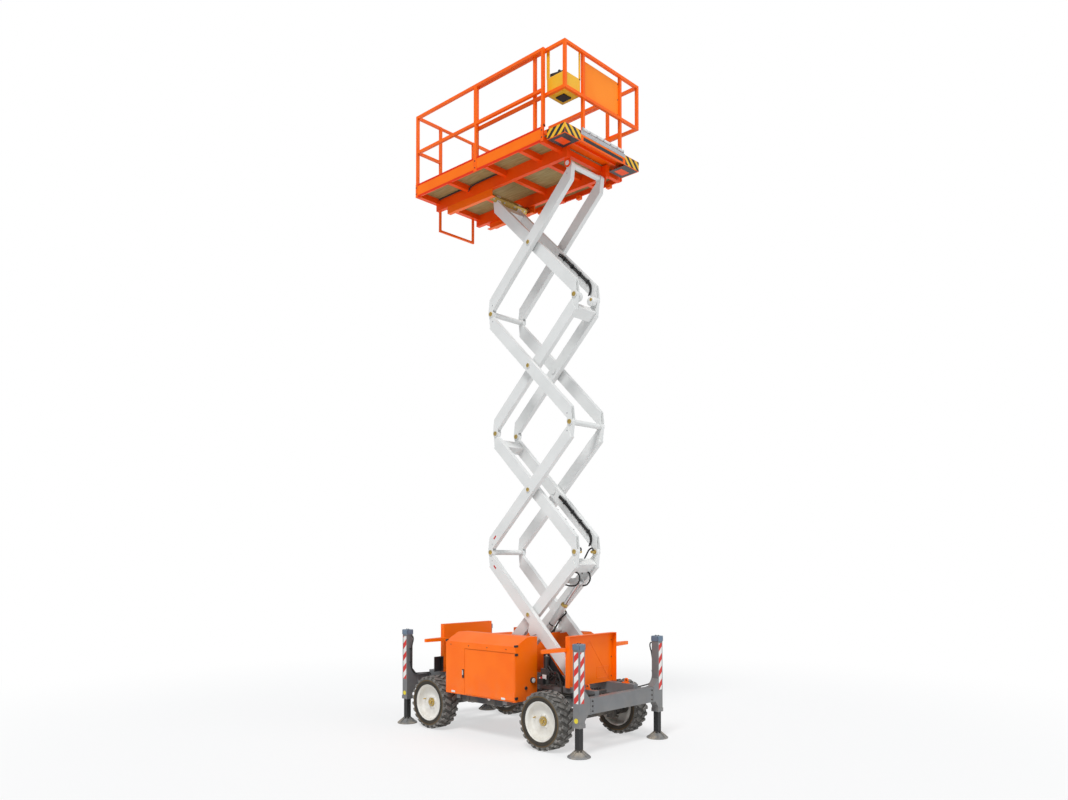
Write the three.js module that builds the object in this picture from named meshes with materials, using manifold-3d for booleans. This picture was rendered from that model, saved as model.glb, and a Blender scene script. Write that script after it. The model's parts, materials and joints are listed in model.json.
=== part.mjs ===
// Rough-terrain scissor lift: four scissor stages on a four-wheel chassis with four levelling jacks.
// Millimetres. +X is forward, +Y is the machine's left, +Z is up.
// The origin is on the ground under the middle of the chassis. The mast stands partly raised.

import * as THREE from 'three';
import { mergeVertices } from 'three/addons/utils/BufferGeometryUtils.js';
import Module from 'manifold-3d';

const wasm = await Module();
wasm.setup();

// ---- driving dimensions ----

const seat = 0.3; // gap between pieces that touch
const runGap = 0.5; // gap of a slide or a roller on its track
const pinGap = 0.6; // radial clearance of a pin in its hole
const thrustGap = 0.5; // gap at a thrust washer or a pin's head
const moveGap = 5; // clearance between pieces that pass each other

const wheel = { base: 2102, outerY: 876, width: 262, radius: 359, rimRadius: 205, rimWall: 10, hubRadius: 100 };
const kingpin = { y: 570, radius: 16, end: 5, washer: 28, barrelRadius: 45, barrelHeight: 206 };
const spindle = { radius: 75, length: 70, flangeFrom: 65 };
const axle = { depth: 110, height: 120, forkPlate: 20, saddleInset: 5, hubRoot: 30 };

const rail = { innerY: 350, width: 80, bottom: 500, top: 733 };
const crossMember = { at: [-1350, -560, 60, 640, 1350], width: 80, height: 100 };
const outrigger = { at: [-480, 400], width: 70, drop: 20, inset: 30 };
const jack = { beyondAxle: 556, y: 789, size: 100, bottom: 345, top: 1327, cap: 12, leg: 74, legTop: 1050 };
const jackGusset = { out: 90, up: 100, back: 60, down: 70 };
const jackFoot = { radius: 140, height: 100, rim: 12, neck: 48, neckHeight: 28, overlap: 20 };
const crossbeam = { width: 100, bottom: 490, top: 680 };

const box = { fromRearAxle: 351, fromFrontAxle: 436, innerY: 450, outerY: 850, bottom: 537, sideTop: 1150, wall: 8 };
const boxRoof = { edge: 1231, crown: 1340, crownY: 630, wall: 6 };
const boxDoor = { rear: -326, inset: 12, stile: 40, stileDepth: 20, stileInset: 20 };
const doorPost = { width: 60, depth: 40 };
const doorHinge = { radius: 6, height: 60, fromEnd: 80, leaf: 30, leafWall: 5 };
const engine = { length: 700, width: 300, height: 440, x: 120, wallGap: 30 };
const cover = { beyondPin: 54, halfWidth: 470, frontTop: 1372, rearTop: 1410, wall: 6, depth: 70 };
const ear = { tipY: 850, rootWidth: 120, tipWidth: 40, bottom: 1180, height: 45, setBack: 35, sweep: 12 };

const arm = { pinToPin: 2189, depth: 150, width: 70, stackGap: 14, stages: 4, endGap: 65, bevel: 60, lugRadius: 45, lugRoot: 30 };
const layer = { outer: 260, inner: 170 }; // inside face of the outer and the inner beams, from the middle
const pin = { radius: 22, end: 4, root: 20, headRadius: 30, headLength: 6, centreRadius: 24, centreHead: 34, tubeRadius: 36 };
const cheek = { wall: 10, sideGap: 0.8 };
const mastAngle = THREE.MathUtils.degToRad(48.87);
const basePinX = 1061;
const roller = { radius: 45, innerY: 370, width: 40, axleRadius: 20, axleEnd: 3, sideGap: 2 };
const track = { lip: 12, beyondStowed: 11, beyondRest: 129 };
const pivotPlate = { innerY: 352, wall: 12, halfLength: 50, rootDepth: 60, packer: [20, 70] };
const tieBox = { length: 150, height: 110, fromEnd: 30 };

const lift = { baseAlong: -190, baseDrop: 135, eyeAlong: 729, eyeDrop: 115, tubeRadius: 30, eyeWidth: 60 };
const barrel = { radius: 45, start: 20, eyeRadius: 48, length: 480, boreStart: 80, footReach: 30 };
const rod = { radius: 25, start: 420, eyeRadius: 35, stubRadius: 14, stubReach: 8 };
const liftPlate = { rootHalf: 90, footHalf: 35, lap: 5 };
const liftBracket = { wall: 12, sideGap: 2, tubeRadius: 35, tubeAlong: 634, tubeRise: 5, eyeMargin: 36, top: 30 };

// Heights on the platform are from the underside of its floor, which stands floor.rise above the top pins.
const deck = { rear: -1444, front: 1041, halfWidth: 795, skirtBottom: -66, skirtTop: 120, skirtWall: 20 };
const deckBeam = { fromRear: 60, at: [-720, 0, 640], fromFront: 40, width: 60, drop: 10, inset: 5 };
const floor = { rise: 206.3, thickness: 12 };
const guard = { tube: 38, midPostWidth: 60.8, top: 1111, midZ: 585, midPostX: -196, frontPostX: 1022 };
const entry = { rightY: -350, leftY: 300, skirtDrop: 60, stepBottom: -440, stepTube: 30 };
const slideDeck = { rear: -300, front: 1361, sideGap: 7, bottom: 20, thickness: 22, toeRear: 1060 };
const runner = { outer: 20, inner: 60, fromFront: 300 };
const slideToe = { bottom: -50, top: 77, wall: 12 };
const slideGuard = { midZ: 530, rearPostX: -230, sidePostX: 843, frontPostY: 375, panelBottom: 554, panelTop: 1010, panelWall: 6 };
const controls = { rear: 1020, innerY: 410, bottom: 525, top: 750 };

// ---- worked-out sizes ----

const pitch = arm.pinToPin * Math.sin(mastAngle);
const span = arm.pinToPin * Math.cos(mastAngle);
const stackedPitch = arm.depth + arm.stackGap;
const stowedAngle = Math.asin(stackedPitch / arm.pinToPin);
const beamTilt = mastAngle - stowedAngle;
const endX = (arm.pinToPin / 2) * Math.cos(stowedAngle);
const endZ = stackedPitch / 2;
const basePin = { x: basePinX, z: rail.top + roller.radius + runGap };
const topPinZ = basePin.z + arm.stages * pitch;
const rearPinX = basePin.x - span;
const trackX = [basePin.x - 2 * endX - roller.radius - track.beyondStowed, rearPinX + track.beyondRest];
const coverX = { front: basePin.x + cover.beyondPin, rear: trackX[0] - moveGap - 2 };
const jackX = wheel.base / 2 + jack.beyondAxle;
const boxX = [-wheel.base / 2 + box.fromRearAxle, wheel.base / 2 - box.fromFrontAxle];
const slideHalfWidth = deck.halfWidth - guard.tube - slideDeck.sideGap;
const wheelMidY = wheel.outerY - wheel.width / 2;
const discY = wheel.outerY - 90;
const railMidY = rail.innerY + rail.width / 2;

// ---- solids ----

function toSolid(geometry) {
  geometry.deleteAttribute('normal');
  geometry.deleteAttribute('uv');
  const merged = mergeVertices(geometry, 1e-3);
  return new wasm.Manifold(new wasm.Mesh({
    numProp: 3,
    vertProperties: new Float32Array(merged.attributes.position.array),
    triVerts: new Uint32Array(merged.index.array),
  }));
}

function toGeometry(solid) {
  const data = solid.getMesh();
  const geometry = new THREE.BufferGeometry();
  const points = new Float32Array(data.vertProperties);
  geometry.setAttribute('position', new THREE.BufferAttribute(points, 3));
  geometry.setIndex(new THREE.BufferAttribute(new Uint32Array(data.triVerts), 1));
  return geometry;
}

function block([x0, x1], [y0, y1], [z0, z1]) {
  const geometry = new THREE.BoxGeometry(x1 - x0, y1 - y0, z1 - z0);
  geometry.translate((x0 + x1) / 2, (y0 + y1) / 2, (z0 + z1) / 2);
  return toSolid(geometry);
}

// A round bar along Y, with a corner of its outline straight below its axis.
function roundY(radius, [y0, y1], x, z, sides = 12) {
  const geometry = new THREE.CylinderGeometry(radius, radius, y1 - y0, sides);
  geometry.translate(x, (y0 + y1) / 2, z);
  return toSolid(geometry);
}

function roundZ(radius, [z0, z1], x, y, sides = 12) {
  const geometry = new THREE.CylinderGeometry(radius, radius, z1 - z0, sides);
  geometry.rotateX(Math.PI / 2);
  geometry.translate(x, y, (z0 + z1) / 2);
  return toSolid(geometry);
}

function roundX(radius, [x0, x1], y, z, sides = 12) {
  const geometry = new THREE.CylinderGeometry(radius, radius, x1 - x0, sides);
  geometry.rotateZ(Math.PI / 2);
  geometry.translate((x0 + x1) / 2, y, z);
  return toSolid(geometry);
}

// A round hole's radius so that its flats keep the gap to a pin with the same number of sides.
const holeRadius = (radius, gap, sides = 12) => (radius + gap) / Math.cos(Math.PI / sides);

// An outline of [x, z] points, drawn in the XZ plane and given its thickness along Y.
function plateY(points, [y0, y1]) {
  const shape = new THREE.Shape(points.map(([x, z]) => new THREE.Vector2(x, z)));
  const geometry = new THREE.ExtrudeGeometry(shape, { depth: y1 - y0, bevelEnabled: false });
  geometry.rotateX(Math.PI / 2);
  geometry.translate(0, y1, 0);
  return toSolid(geometry);
}

// An outline of [x, y] points with its thickness along Z.
function plateZ(points, [z0, z1]) {
  const shape = new THREE.Shape(points.map(([x, y]) => new THREE.Vector2(x, y)));
  const geometry = new THREE.ExtrudeGeometry(shape, { depth: z1 - z0, bevelEnabled: false });
  geometry.translate(0, 0, z0);
  return toSolid(geometry);
}

// An outline of [y, z] points with its thickness along X.
function plateX(points, [x0, x1]) {
  const shape = new THREE.Shape(points.map(([y, z]) => new THREE.Vector2(y, z)));
  const geometry = new THREE.ExtrudeGeometry(shape, { depth: x1 - x0, bevelEnabled: false });
  geometry.rotateZ(Math.PI / 2);
  geometry.rotateY(Math.PI / 2);
  geometry.translate(x0, 0, 0);
  return toSolid(geometry);
}

// A ring turned about the Y axis through x, z: points are [radius, y].
function turnedY(points, x, z, sides) {
  const geometry = new THREE.LatheGeometry(points.map(([r, y]) => new THREE.Vector2(r, y)), sides);
  geometry.translate(x, 0, z);
  return toSolid(geometry);
}

function turnedZ(points, x, y, sides) {
  const geometry = new THREE.LatheGeometry(points.map(([r, z]) => new THREE.Vector2(r, z)), sides);
  geometry.rotateX(Math.PI / 2);
  geometry.translate(x, y, 0);
  return toSolid(geometry);
}

const join = (...solids) => solids.flat().reduce((whole, solid) => whole.add(solid));
const mirrorY = (solid) => solid.mirror([0, 1, 0]);
const bothSides = (solid) => solid.add(mirrorY(solid));
const around = (middle, size) => [middle - size / 2, middle + size / 2];
const sideSpan = (side, [y0, y1]) => (side > 0 ? [y0, y1] : [-y1, -y0]);

// ---- materials ----

const paint = (color, roughness = 0.5, metalness = 0.1) =>
  () => new THREE.MeshStandardMaterial({ color, roughness, metalness });
const orange = paint(0xf06a10);
const white = paint(0xe9e9e6);
const grey = paint(0x6c6e70);
const black = paint(0x1d1e20);
const steel = paint(0xb9b9b9, 0.3, 0.9);
const zinc = paint(0xb8923c, 0.4, 0.8);
const rubber = paint(0x2a2a2b, 0.9, 0);
const yellow = paint(0xf2c21a);

const model = new THREE.Group();

function place(name, solid, material, parent = model) {
  const mesh = new THREE.Mesh(toGeometry(solid), material());
  mesh.name = name;
  parent.add(mesh);
  return mesh;
}

// ---- chassis ----

function chassisFrame() {
  const innerEnd = jackX - crossbeam.width / 2 - seat;
  const railY = [rail.innerY, rail.innerY + rail.width];
  const side = [
    block([-innerEnd, innerEnd], railY, [rail.bottom, rail.top]),
    pivotPlates(basePin.z, rail.top - pivotPlate.rootDepth),
  ];
  const acrossZ = [rail.bottom, rail.bottom + crossMember.height];
  const across = crossMember.at.map((x) =>
    block(around(x, crossMember.width), [-railMidY, railMidY], acrossZ));
  const outriggers = outrigger.at.map((x) => block(around(x, outrigger.width),
    [railMidY, box.outerY - outrigger.inset], [rail.bottom - outrigger.drop, box.bottom - seat]));
  return join(bothSides(join(...side, ...outriggers)), ...across);
}

// An angle that keeps a roller on its track: a web beside the roller and a lip on its far side.
function rollerTrack(side, pinZ, lipWay) {
  const outer = rail.innerY + rail.width;
  const reach = roller.radius + runGap;
  const lip = pinZ + lipWay * reach;
  const lipEdge = lip + lipWay * track.lip;
  const root = pinZ - lipWay * (reach - seat);
  const angle = join(
    block(trackX, [outer - track.lip, outer], [Math.min(root, lipEdge), Math.max(root, lipEdge)]),
    block(trackX, [roller.innerY - roller.sideGap, outer], [Math.min(lip, lipEdge), Math.max(lip, lipEdge)]),
  );
  return side > 0 ? angle : mirrorY(angle);
}

// A plate with a round end and a hole for the fixed pin at the mast's front.
function pivotPlates(pinZ, rootZ) {
  const y = [pivotPlate.innerY, pivotPlate.innerY + pivotPlate.wall];
  const x = [basePin.x - pivotPlate.halfLength, basePin.x + pivotPlate.halfLength];
  const z = rootZ < pinZ ? [rootZ, pinZ] : [pinZ, rootZ];
  const plate = join(block(x, y, z), roundY(pivotPlate.halfLength, y, basePin.x, pinZ));
  return plate.subtract(roundY(holeRadius(pin.radius, pinGap), [y[0] - 1, y[1] + 1], basePin.x, pinZ));
}

function frontAxle() {
  const x = around(wheel.base / 2, axle.depth);
  const midZ = wheel.radius;
  const barrelZ = around(midZ, kingpin.barrelHeight + 2 * moveGap);
  const webY = kingpin.y - kingpin.barrelRadius - moveGap;
  const forkY = [webY - axle.forkPlate, kingpin.y + kingpin.barrelRadius];
  const plates = [
    block(x, forkY, [barrelZ[0] - axle.forkPlate, barrelZ[0]]),
    block(x, forkY, [barrelZ[1], barrelZ[1] + axle.forkPlate]),
    block(x, [webY - axle.forkPlate, webY], [barrelZ[0] - 1, barrelZ[1] + 1]),
  ];
  const beam = block(x, [-webY, webY], around(midZ, axle.height));
  const saddle = block(around(wheel.base / 2, axle.depth), [rail.innerY, rail.innerY + rail.width - axle.saddleInset],
    [midZ, rail.bottom - seat]);
  const hole = roundZ(holeRadius(kingpin.radius, pinGap), [barrelZ[0] - 50, barrelZ[1] + 50],
    wheel.base / 2, kingpin.y);
  return join(beam, bothSides(join(...plates, saddle))).subtract(bothSides(hole));
}

function rearAxle() {
  const x = -wheel.base / 2;
  const beam = block(around(x, axle.depth), [-kingpin.y, kingpin.y], around(wheel.radius, axle.height));
  const saddle = block(around(x, axle.depth), [rail.innerY, rail.innerY + rail.width],
    [wheel.radius, rail.bottom - seat]);
  const hub = roundY(wheel.hubRadius, [kingpin.y - axle.hubRoot, discY - seat], x, wheel.radius);
  return join(beam, bothSides(join(saddle, hub)));
}

function knuckle(side) {
  const x = wheel.base / 2;
  const y = side * kingpin.y;
  const plateOut = kingpin.barrelHeight / 2 + moveGap + axle.forkPlate;
  return join(
    roundZ(kingpin.barrelRadius, around(wheel.radius, kingpin.barrelHeight), x, y),
    roundZ(kingpin.radius, around(wheel.radius, 2 * (plateOut + kingpin.end)), x, y),
    roundZ(kingpin.washer, around(wheel.radius, kingpin.barrelHeight + 2 * (moveGap - thrustGap)), x, y),
    roundY(spindle.radius, sideSpan(side, [kingpin.y, kingpin.y + spindle.length]), x, wheel.radius),
    roundY(wheel.hubRadius, sideSpan(side, [kingpin.y + spindle.flangeFrom, discY - seat]), x, wheel.radius),
  );
}

const wheelSides = 28;

function rim(x, side) {
  const r = wheel.rimRadius;
  const halfY = wheel.width / 2 - 12;
  const profile = [
    [0, discY - wheelMidY], [r - wheel.rimWall, discY - wheelMidY], [r - wheel.rimWall, -halfY],
    [r, -halfY], [r, halfY], [r - wheel.rimWall, halfY], [r - wheel.rimWall, discY - wheelMidY + 12],
    [75, discY - wheelMidY + 12], [65, discY - wheelMidY + 62], [0, discY - wheelMidY + 62],
  ];
  const ring = turnedY(profile, 0, wheel.radius, wheelSides).translate([x, wheelMidY, 0]);
  return side > 0 ? ring : mirrorY(ring);
}

function tyre(x, side) {
  const bore = wheel.rimRadius + seat;
  const half = wheel.width / 2;
  const profile = [
    [bore, -half + 18], [bore + 45, -half], [wheel.radius - 30, -half], [wheel.radius - 6, -half + 26],
    [wheel.radius, -half + 70], [wheel.radius, half - 70], [wheel.radius - 6, half - 26],
    [wheel.radius - 30, half], [bore + 45, half], [bore, half - 18], [bore, -half + 18],
  ];
  return turnedY(profile, 0, wheel.radius, wheelSides).translate([x, side * wheelMidY, 0]);
}

// ---- levelling jacks ----

function jackBeam(end) {
  const beam = block(around(0, crossbeam.width), [-jack.y, jack.y], [crossbeam.bottom, crossbeam.top]);
  const housing = block(around(0, jack.size), around(jack.y, jack.size), [jack.bottom, jack.top]);
  const inner = jack.leg + 2 * runGap;
  const hollow = block(around(0, inner), around(jack.y, inner), [jack.bottom - 1, jack.top - jack.cap]);
  const root = jack.y - jack.size / 2;
  const g = jackGusset;
  const thick = around(0, crossbeam.width);
  const gusset = plateX([[root + 1, crossbeam.top - 1], [root - g.out, crossbeam.top - 1],
    [root + 1, crossbeam.top + g.up]], thick);
  const lower = plateX([[root + 1, crossbeam.bottom + 1], [root + 1, crossbeam.bottom - g.down],
    [root - g.back, crossbeam.bottom + 1]], thick);
  const whole = join(beam, bothSides(join(housing, gusset, lower))).subtract(bothSides(hollow));
  return whole.translate([end * jackX, 0, 0]);
}

function jackLeg(end, side) {
  const x = end * jackX;
  const y = side * jack.y;
  const legWidth = around(0, jack.leg);
  const foot = [[0, 0], [jackFoot.radius, 0], [jackFoot.radius, jackFoot.rim],
    [jackFoot.neck, jackFoot.height - jackFoot.neckHeight], [jackFoot.neck, jackFoot.height], [0, jackFoot.height]];
  return join(
    block(legWidth, legWidth, [jackFoot.height - jackFoot.overlap, jack.legTop]).translate([x, y, 0]),
    turnedZ(foot, x, y, 16),
  );
}

// ---- side boxes and end covers ----

function sideBox(side) {
  const w = box.wall;
  const y = [box.innerY, box.outerY];
  const z = [box.bottom, box.sideTop];
  const shell = join(
    block([boxX[0], boxX[1]], y, [box.bottom, box.bottom + w]),
    block([boxX[0], boxX[1]], [y[0], y[0] + w], z),
    block([boxX[0], boxX[0] + w], y, z),
    block([boxX[1] - w, boxX[1]], y, z),
    block([boxX[0], boxDoor.rear - moveGap], [y[1] - w, y[1]], z),
    block([boxDoor.rear - doorPost.width, boxDoor.rear - moveGap], [y[1] - doorPost.depth, y[1]], z),
  );
  return side > 0 ? shell : mirrorY(shell);
}

function sideBoxRoof(side) {
  const b = box.sideTop + seat;
  const t = boxRoof.wall;
  const points = [
    [box.outerY, b], [box.outerY, boxRoof.edge], [boxRoof.crownY, boxRoof.crown],
    [box.innerY, boxRoof.crown], [box.innerY, b], [box.innerY + t, b],
    [box.innerY + t, boxRoof.crown - t], [boxRoof.crownY - 2, boxRoof.crown - t],
    [box.outerY - t, boxRoof.edge - t], [box.outerY - t, b],
  ];
  const arch = plateX(points, [boxX[0], boxX[1]]);
  const endPoints = [[box.outerY, b], [box.outerY, boxRoof.edge], [boxRoof.crownY, boxRoof.crown],
    [box.innerY, boxRoof.crown], [box.innerY, b]];
  const roof = join(arch, plateX(endPoints, [boxX[0], boxX[0] + t]),
    plateX(endPoints, [boxX[1] - t, boxX[1]]));
  return side > 0 ? roof : mirrorY(roof);
}

function sideBoxDoor(side) {
  const x = [boxDoor.rear, boxX[1] - boxDoor.inset];
  const y = [box.outerY - box.wall, box.outerY];
  const z = [box.bottom + boxDoor.inset, box.sideTop - moveGap];
  const skin = block(x, y, z);
  const stile = block([x[0], x[0] + boxDoor.stile], [y[0] - boxDoor.stileDepth, y[1]],
    [z[0] + boxDoor.stileInset, z[1] - boxDoor.stileInset]);
  const knuckleAt = [z[0] + doorHinge.fromEnd, z[1] - doorHinge.fromEnd];
  const hingeX = boxX[1] - box.wall - 1;
  const hinges = knuckleAt.map((h) => join(
    roundZ(doorHinge.radius, around(h, doorHinge.height), hingeX, box.outerY + doorHinge.radius, 10),
    block([x[1] - doorHinge.leaf, hingeX], [box.outerY - 1, box.outerY + doorHinge.leafWall],
      around(h, doorHinge.height))));
  const door = join(skin, stile, ...hinges);
  return side > 0 ? door : mirrorY(door);
}

function endCover(end) {
  const face = end > 0 ? coverX.front : coverX.rear;
  const top = end > 0 ? cover.frontTop : cover.rearTop;
  const bottom = rail.top + seat;
  const w = cover.wall;
  const x = end > 0 ? [face, face + w] : [face - w, face];
  const xDeep = end > 0 ? [face, face + cover.depth] : [face - cover.depth, face];
  const y = cover.halfWidth;
  const shell = [
    block(x, [-y, y], [bottom, top]),
    block(xDeep, [-y, y], [top - w, top]),
    bothSides(block(xDeep, [y - w, y], [bottom, top - w / 2])),
  ];
  const rootX = face - end * ear.setBack;
  const tipX = rootX - end * ear.sweep;
  const h = [ear.rootWidth / 2, ear.tipWidth / 2];
  const plan = [[rootX - h[0], y - 1], [rootX + h[0], y - 1], [tipX + h[1], ear.tipY], [tipX - h[1], ear.tipY]];
  const wings = bothSides(plateZ(plan, [ear.bottom, ear.bottom + ear.height]));
  return join(...shell, wings);
}

// ---- mast ----

// The middle of one beam and its two ends, drawn with the centre pin at the origin and +X to the top end.
function beamSide(y, lower, upper) {
  const half = arm.depth / 2;
  const bodyEnd = endX - arm.endGap;
  const full = [y, y + arm.width];
  const inset = cheek.wall + cheek.sideGap;
  const tongue = [y + inset, y + arm.width - inset];
  const cheeks = [[y, y + cheek.wall], [y + arm.width - cheek.wall, y + arm.width]];
  const layers = { full: [full], tongue: [tongue], cheeks };
  const body = plateY([[-bodyEnd, -half], [bodyEnd - arm.bevel, -half], [bodyEnd, half],
    [-bodyEnd + arm.bevel, half]], full);
  const ends = [[1, upper], [-1, lower]].flatMap(([way, kind]) => layers[kind].map((span) => lug(way, span)));
  return join(body, ...ends);
}

// The tapered lug from the end of a beam to its pin: its edges touch a circle around the pin.
function lug(way, y) {
  const half = arm.depth / 2;
  const bodyEnd = endX - arm.endGap;
  const centre = new THREE.Vector2(endX, endZ);
  const touchAngle = (x, z, turn) => {
    const line = new THREE.Vector2(x, z).sub(centre);
    return line.angle() + turn * Math.acos(arm.lugRadius / line.length());
  };
  const start = touchAngle(bodyEnd - arm.bevel, -half, 1) - 2 * Math.PI;
  const stop = touchAngle(bodyEnd, half, -1);
  const steps = 6;
  const outline = [];
  for (let i = 0; i <= steps; i += 1) {
    const angle = start + ((stop - start) * i) / steps;
    outline.push([centre.x + arm.lugRadius * Math.cos(angle), centre.y + arm.lugRadius * Math.sin(angle)]);
  }
  const rootX = bodyEnd - arm.bevel - arm.lugRoot;
  outline.push([bodyEnd, half], [rootX, half], [rootX, -half], [bodyEnd - arm.bevel, -half]);
  const points = way > 0 ? outline : outline.map(([x, z]) => [-x, -z]);
  return plateY(points, y);
}

const pinHole = (y, x, z, radius = pin.radius) =>
  roundY(holeRadius(radius, pinGap), [y - 1, y + arm.width + 1], x, z);

function outerFrame(stage) {
  const y = layer.outer;
  const last = stage === arm.stages;
  const beam = beamSide(y, stage === 1 ? 'full' : 'cheeks', last ? 'full' : 'tongue');
  const beside = layer.inner + arm.width + thrustGap;
  const parts = [
    stage > 1 ? beam.subtract(pinHole(y, -endX, -endZ)) : beam,
    roundY(pin.centreRadius, [layer.inner - moveGap - 1, y + 10], 0, 0),
    roundY(pin.centreHead, [layer.inner - moveGap - pin.headLength, layer.inner - moveGap], 0, 0),
    roundY(pin.centreHead, [beside, y + 1], 0, 0),
    roundY(pin.centreHead, [y + arm.width - 1, y + arm.width + 2 * pin.headLength], 0, 0),
    last ? fixedPin(1) : roundY(pin.radius, [y - pin.root, y + arm.width + pin.end], endX, endZ),
  ];
  const tubeSpan = [-(y - moveGap), y - moveGap];
  const tubes = [roundY(pin.tubeRadius, tubeSpan, endX, endZ)];
  if (stage === 1) {
    parts.push(fixedPin(-1), liftBase());
    tubes.push(roundY(pin.tubeRadius, tubeSpan, -endX, -endZ));
    tubes.push(roundY(lift.tubeRadius, [-y - 5, y + 5], lift.baseAlong, -lift.baseDrop, 16));
  }
  return join(bothSides(join(...parts)), ...tubes);
}

// The pin through a pivot plate, with its head outside the plate.
function fixedPin(way) {
  const outside = pivotPlate.innerY + pivotPlate.wall + thrustGap;
  return join(
    roundY(pin.radius, [layer.outer - pin.root, outside + 1], way * endX, way * endZ),
    roundY(pin.headRadius, [outside, outside + pin.headLength], way * endX, way * endZ),
  );
}

// The plates under the first outer beams that carry the lift cylinder's foot.
function liftBase() {
  const half = arm.depth / 2;
  const low = -lift.baseDrop - lift.tubeRadius;
  const x = lift.baseAlong;
  const top = -half + liftPlate.lap;
  const outline = [[x - liftPlate.rootHalf, top], [x - liftPlate.footHalf, low],
    [x + liftPlate.footHalf, low], [x + liftPlate.rootHalf, top]];
  return plateY(outline, [layer.outer, layer.outer + arm.width]);
}

function innerFrame(stage) {
  const y = layer.inner;
  const last = stage === arm.stages;
  const kinds = [stage === 1 ? 'full' : 'cheeks', last ? 'full' : 'tongue'];
  const beam = beamSide(y, ...kinds).subtract(pinHole(y, 0, 0, pin.centreRadius));
  const lowerHole = stage === 1 ? axleHole(-1) : pinHole(y, -endX, -endZ);
  const parts = [last ? beam.subtract(lowerHole).subtract(axleHole(1)) : beam.subtract(lowerHole)];
  if (!last) {
    parts.push(roundY(pin.radius, [y - pin.end, y + arm.width + pin.end], endX, endZ));
  }
  const endFrom = endX - arm.endGap - tieBox.fromEnd;
  const ties = [block([endFrom - tieBox.length, endFrom], [-y - 5, y + 5], around(0, tieBox.height))];
  if (stage === 1) {
    ties.push(liftEye());
  }
  return join(bothSides(join(...parts)), ...ties);
}

const axleHole = (way) => roundY(holeRadius(roller.axleRadius, seat), [layer.inner - 1, layer.inner + arm.width + 1],
  way * endX, way * endZ);

// A tube between the first inner beams with two plates that take the rod's eye.
function liftEye() {
  const b = liftBracket;
  const tube = roundY(b.tubeRadius, [-layer.inner - 5, layer.inner + 5], b.tubeAlong, b.tubeRise);
  const inside = lift.eyeWidth / 2 + rod.stubRadius + b.sideGap;
  const x = lift.eyeAlong;
  const low = -lift.eyeDrop - rod.eyeRadius + 1;
  const plate = plateY([[b.tubeAlong - b.tubeRadius + 1, b.tubeRise + 8], [x - b.eyeMargin, low],
    [x + b.eyeMargin, low], [x + b.eyeMargin + 8, -lift.eyeDrop + 20],
    [b.tubeAlong + 20, b.tubeRise + b.top]], [inside, inside + b.wall]);
  return join(tube, bothSides(plate));
}

// ---- lift cylinder, drawn along +X from its foot pin ----

function liftBarrel() {
  const half = lift.eyeWidth / 2;
  const body = roundX(barrel.radius, [barrel.start, barrel.length], 0, 0, 16);
  const eye = roundY(barrel.eyeRadius, [-half, half], 0, 0, 16);
  const bore = roundX(holeRadius(rod.radius, seat, 16), [barrel.boreStart, barrel.length + 1], 0, 0, 16);
  const footSpan = [-half - barrel.footReach, half + barrel.footReach];
  const foot = roundY(holeRadius(lift.tubeRadius, seat, 16), footSpan, 0, 0, 16);
  return join(body, eye).subtract(bore).subtract(foot);
}

function liftRod(length) {
  const half = lift.eyeWidth / 2;
  return join(
    roundX(rod.radius, [rod.start, length], 0, 0, 16),
    roundY(rod.eyeRadius, [-half, half], length, 0),
    roundY(rod.stubRadius, [-half - rod.stubReach, half + rod.stubReach], length, 0),
  );
}

// Rollers on a shaft through the ends of the inner beams.
function rollerSet() {
  const out = roller.innerY + roller.width;
  return join(
    roundY(roller.axleRadius, [-out - roller.axleEnd, out + roller.axleEnd], 0, 0),
    bothSides(roundY(roller.radius, [roller.innerY, out], 0, 0, 16)),
  );
}

// ---- platform ----

function platformFrame() {
  const pinZ = -floor.rise;
  const trackTop = pinZ + roller.radius + runGap;
  const beamTop = -seat;
  const railY = [roller.innerY - roller.sideGap, rail.innerY + rail.width];
  const beamFront = basePin.x + pivotPlate.halfLength;
  const side = [
    block([deck.rear + deck.skirtWall, beamFront], railY, [trackTop, beamTop]),
    pivotPlates(pinZ, trackTop + pivotPlate.rootDepth),
    block([basePin.x - pivotPlate.halfLength, beamFront], [pivotPlate.innerY, railY[0] + 1],
      pivotPlate.packer.map((rise) => trackTop + rise)),
    block([deck.rear, deck.front], [deck.halfWidth - deck.skirtWall, deck.halfWidth],
      [deck.skirtBottom, deck.skirtTop]),
  ];
  const acrossAt = [deck.rear + deckBeam.fromRear, ...deckBeam.at, deck.front - deckBeam.fromFront];
  const across = acrossAt.map((x) => block(around(x, deckBeam.width),
    around(0, 2 * (deck.halfWidth - deckBeam.inset)), [deck.skirtBottom - deckBeam.drop, beamTop]));
  const rearSkirt = block([deck.rear, deck.rear + deck.skirtWall], [-deck.halfWidth, deck.halfWidth],
    [deck.skirtBottom, deck.skirtTop - entry.skirtDrop]);
  return join(bothSides(join(...side)), ...across, rearSkirt);
}

function platformFloor() {
  const y = deck.halfWidth - deck.skirtWall - seat;
  return block([deck.rear + deck.skirtWall + seat, deck.front], [-y, y],
    [0, floor.thickness]);
}

const tubeX = ([x0, x1], y, z, size = guard.tube) => block([x0, x1], around(y, size), around(z, size));
const tubeY = (x, [y0, y1], z, size = guard.tube) => block(around(x, size), [y0, y1], around(z, size));
const tubeZ = (x, y, [z0, z1], size = guard.tube) => block(around(x, size), around(y, size), [z0, z1]);

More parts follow.
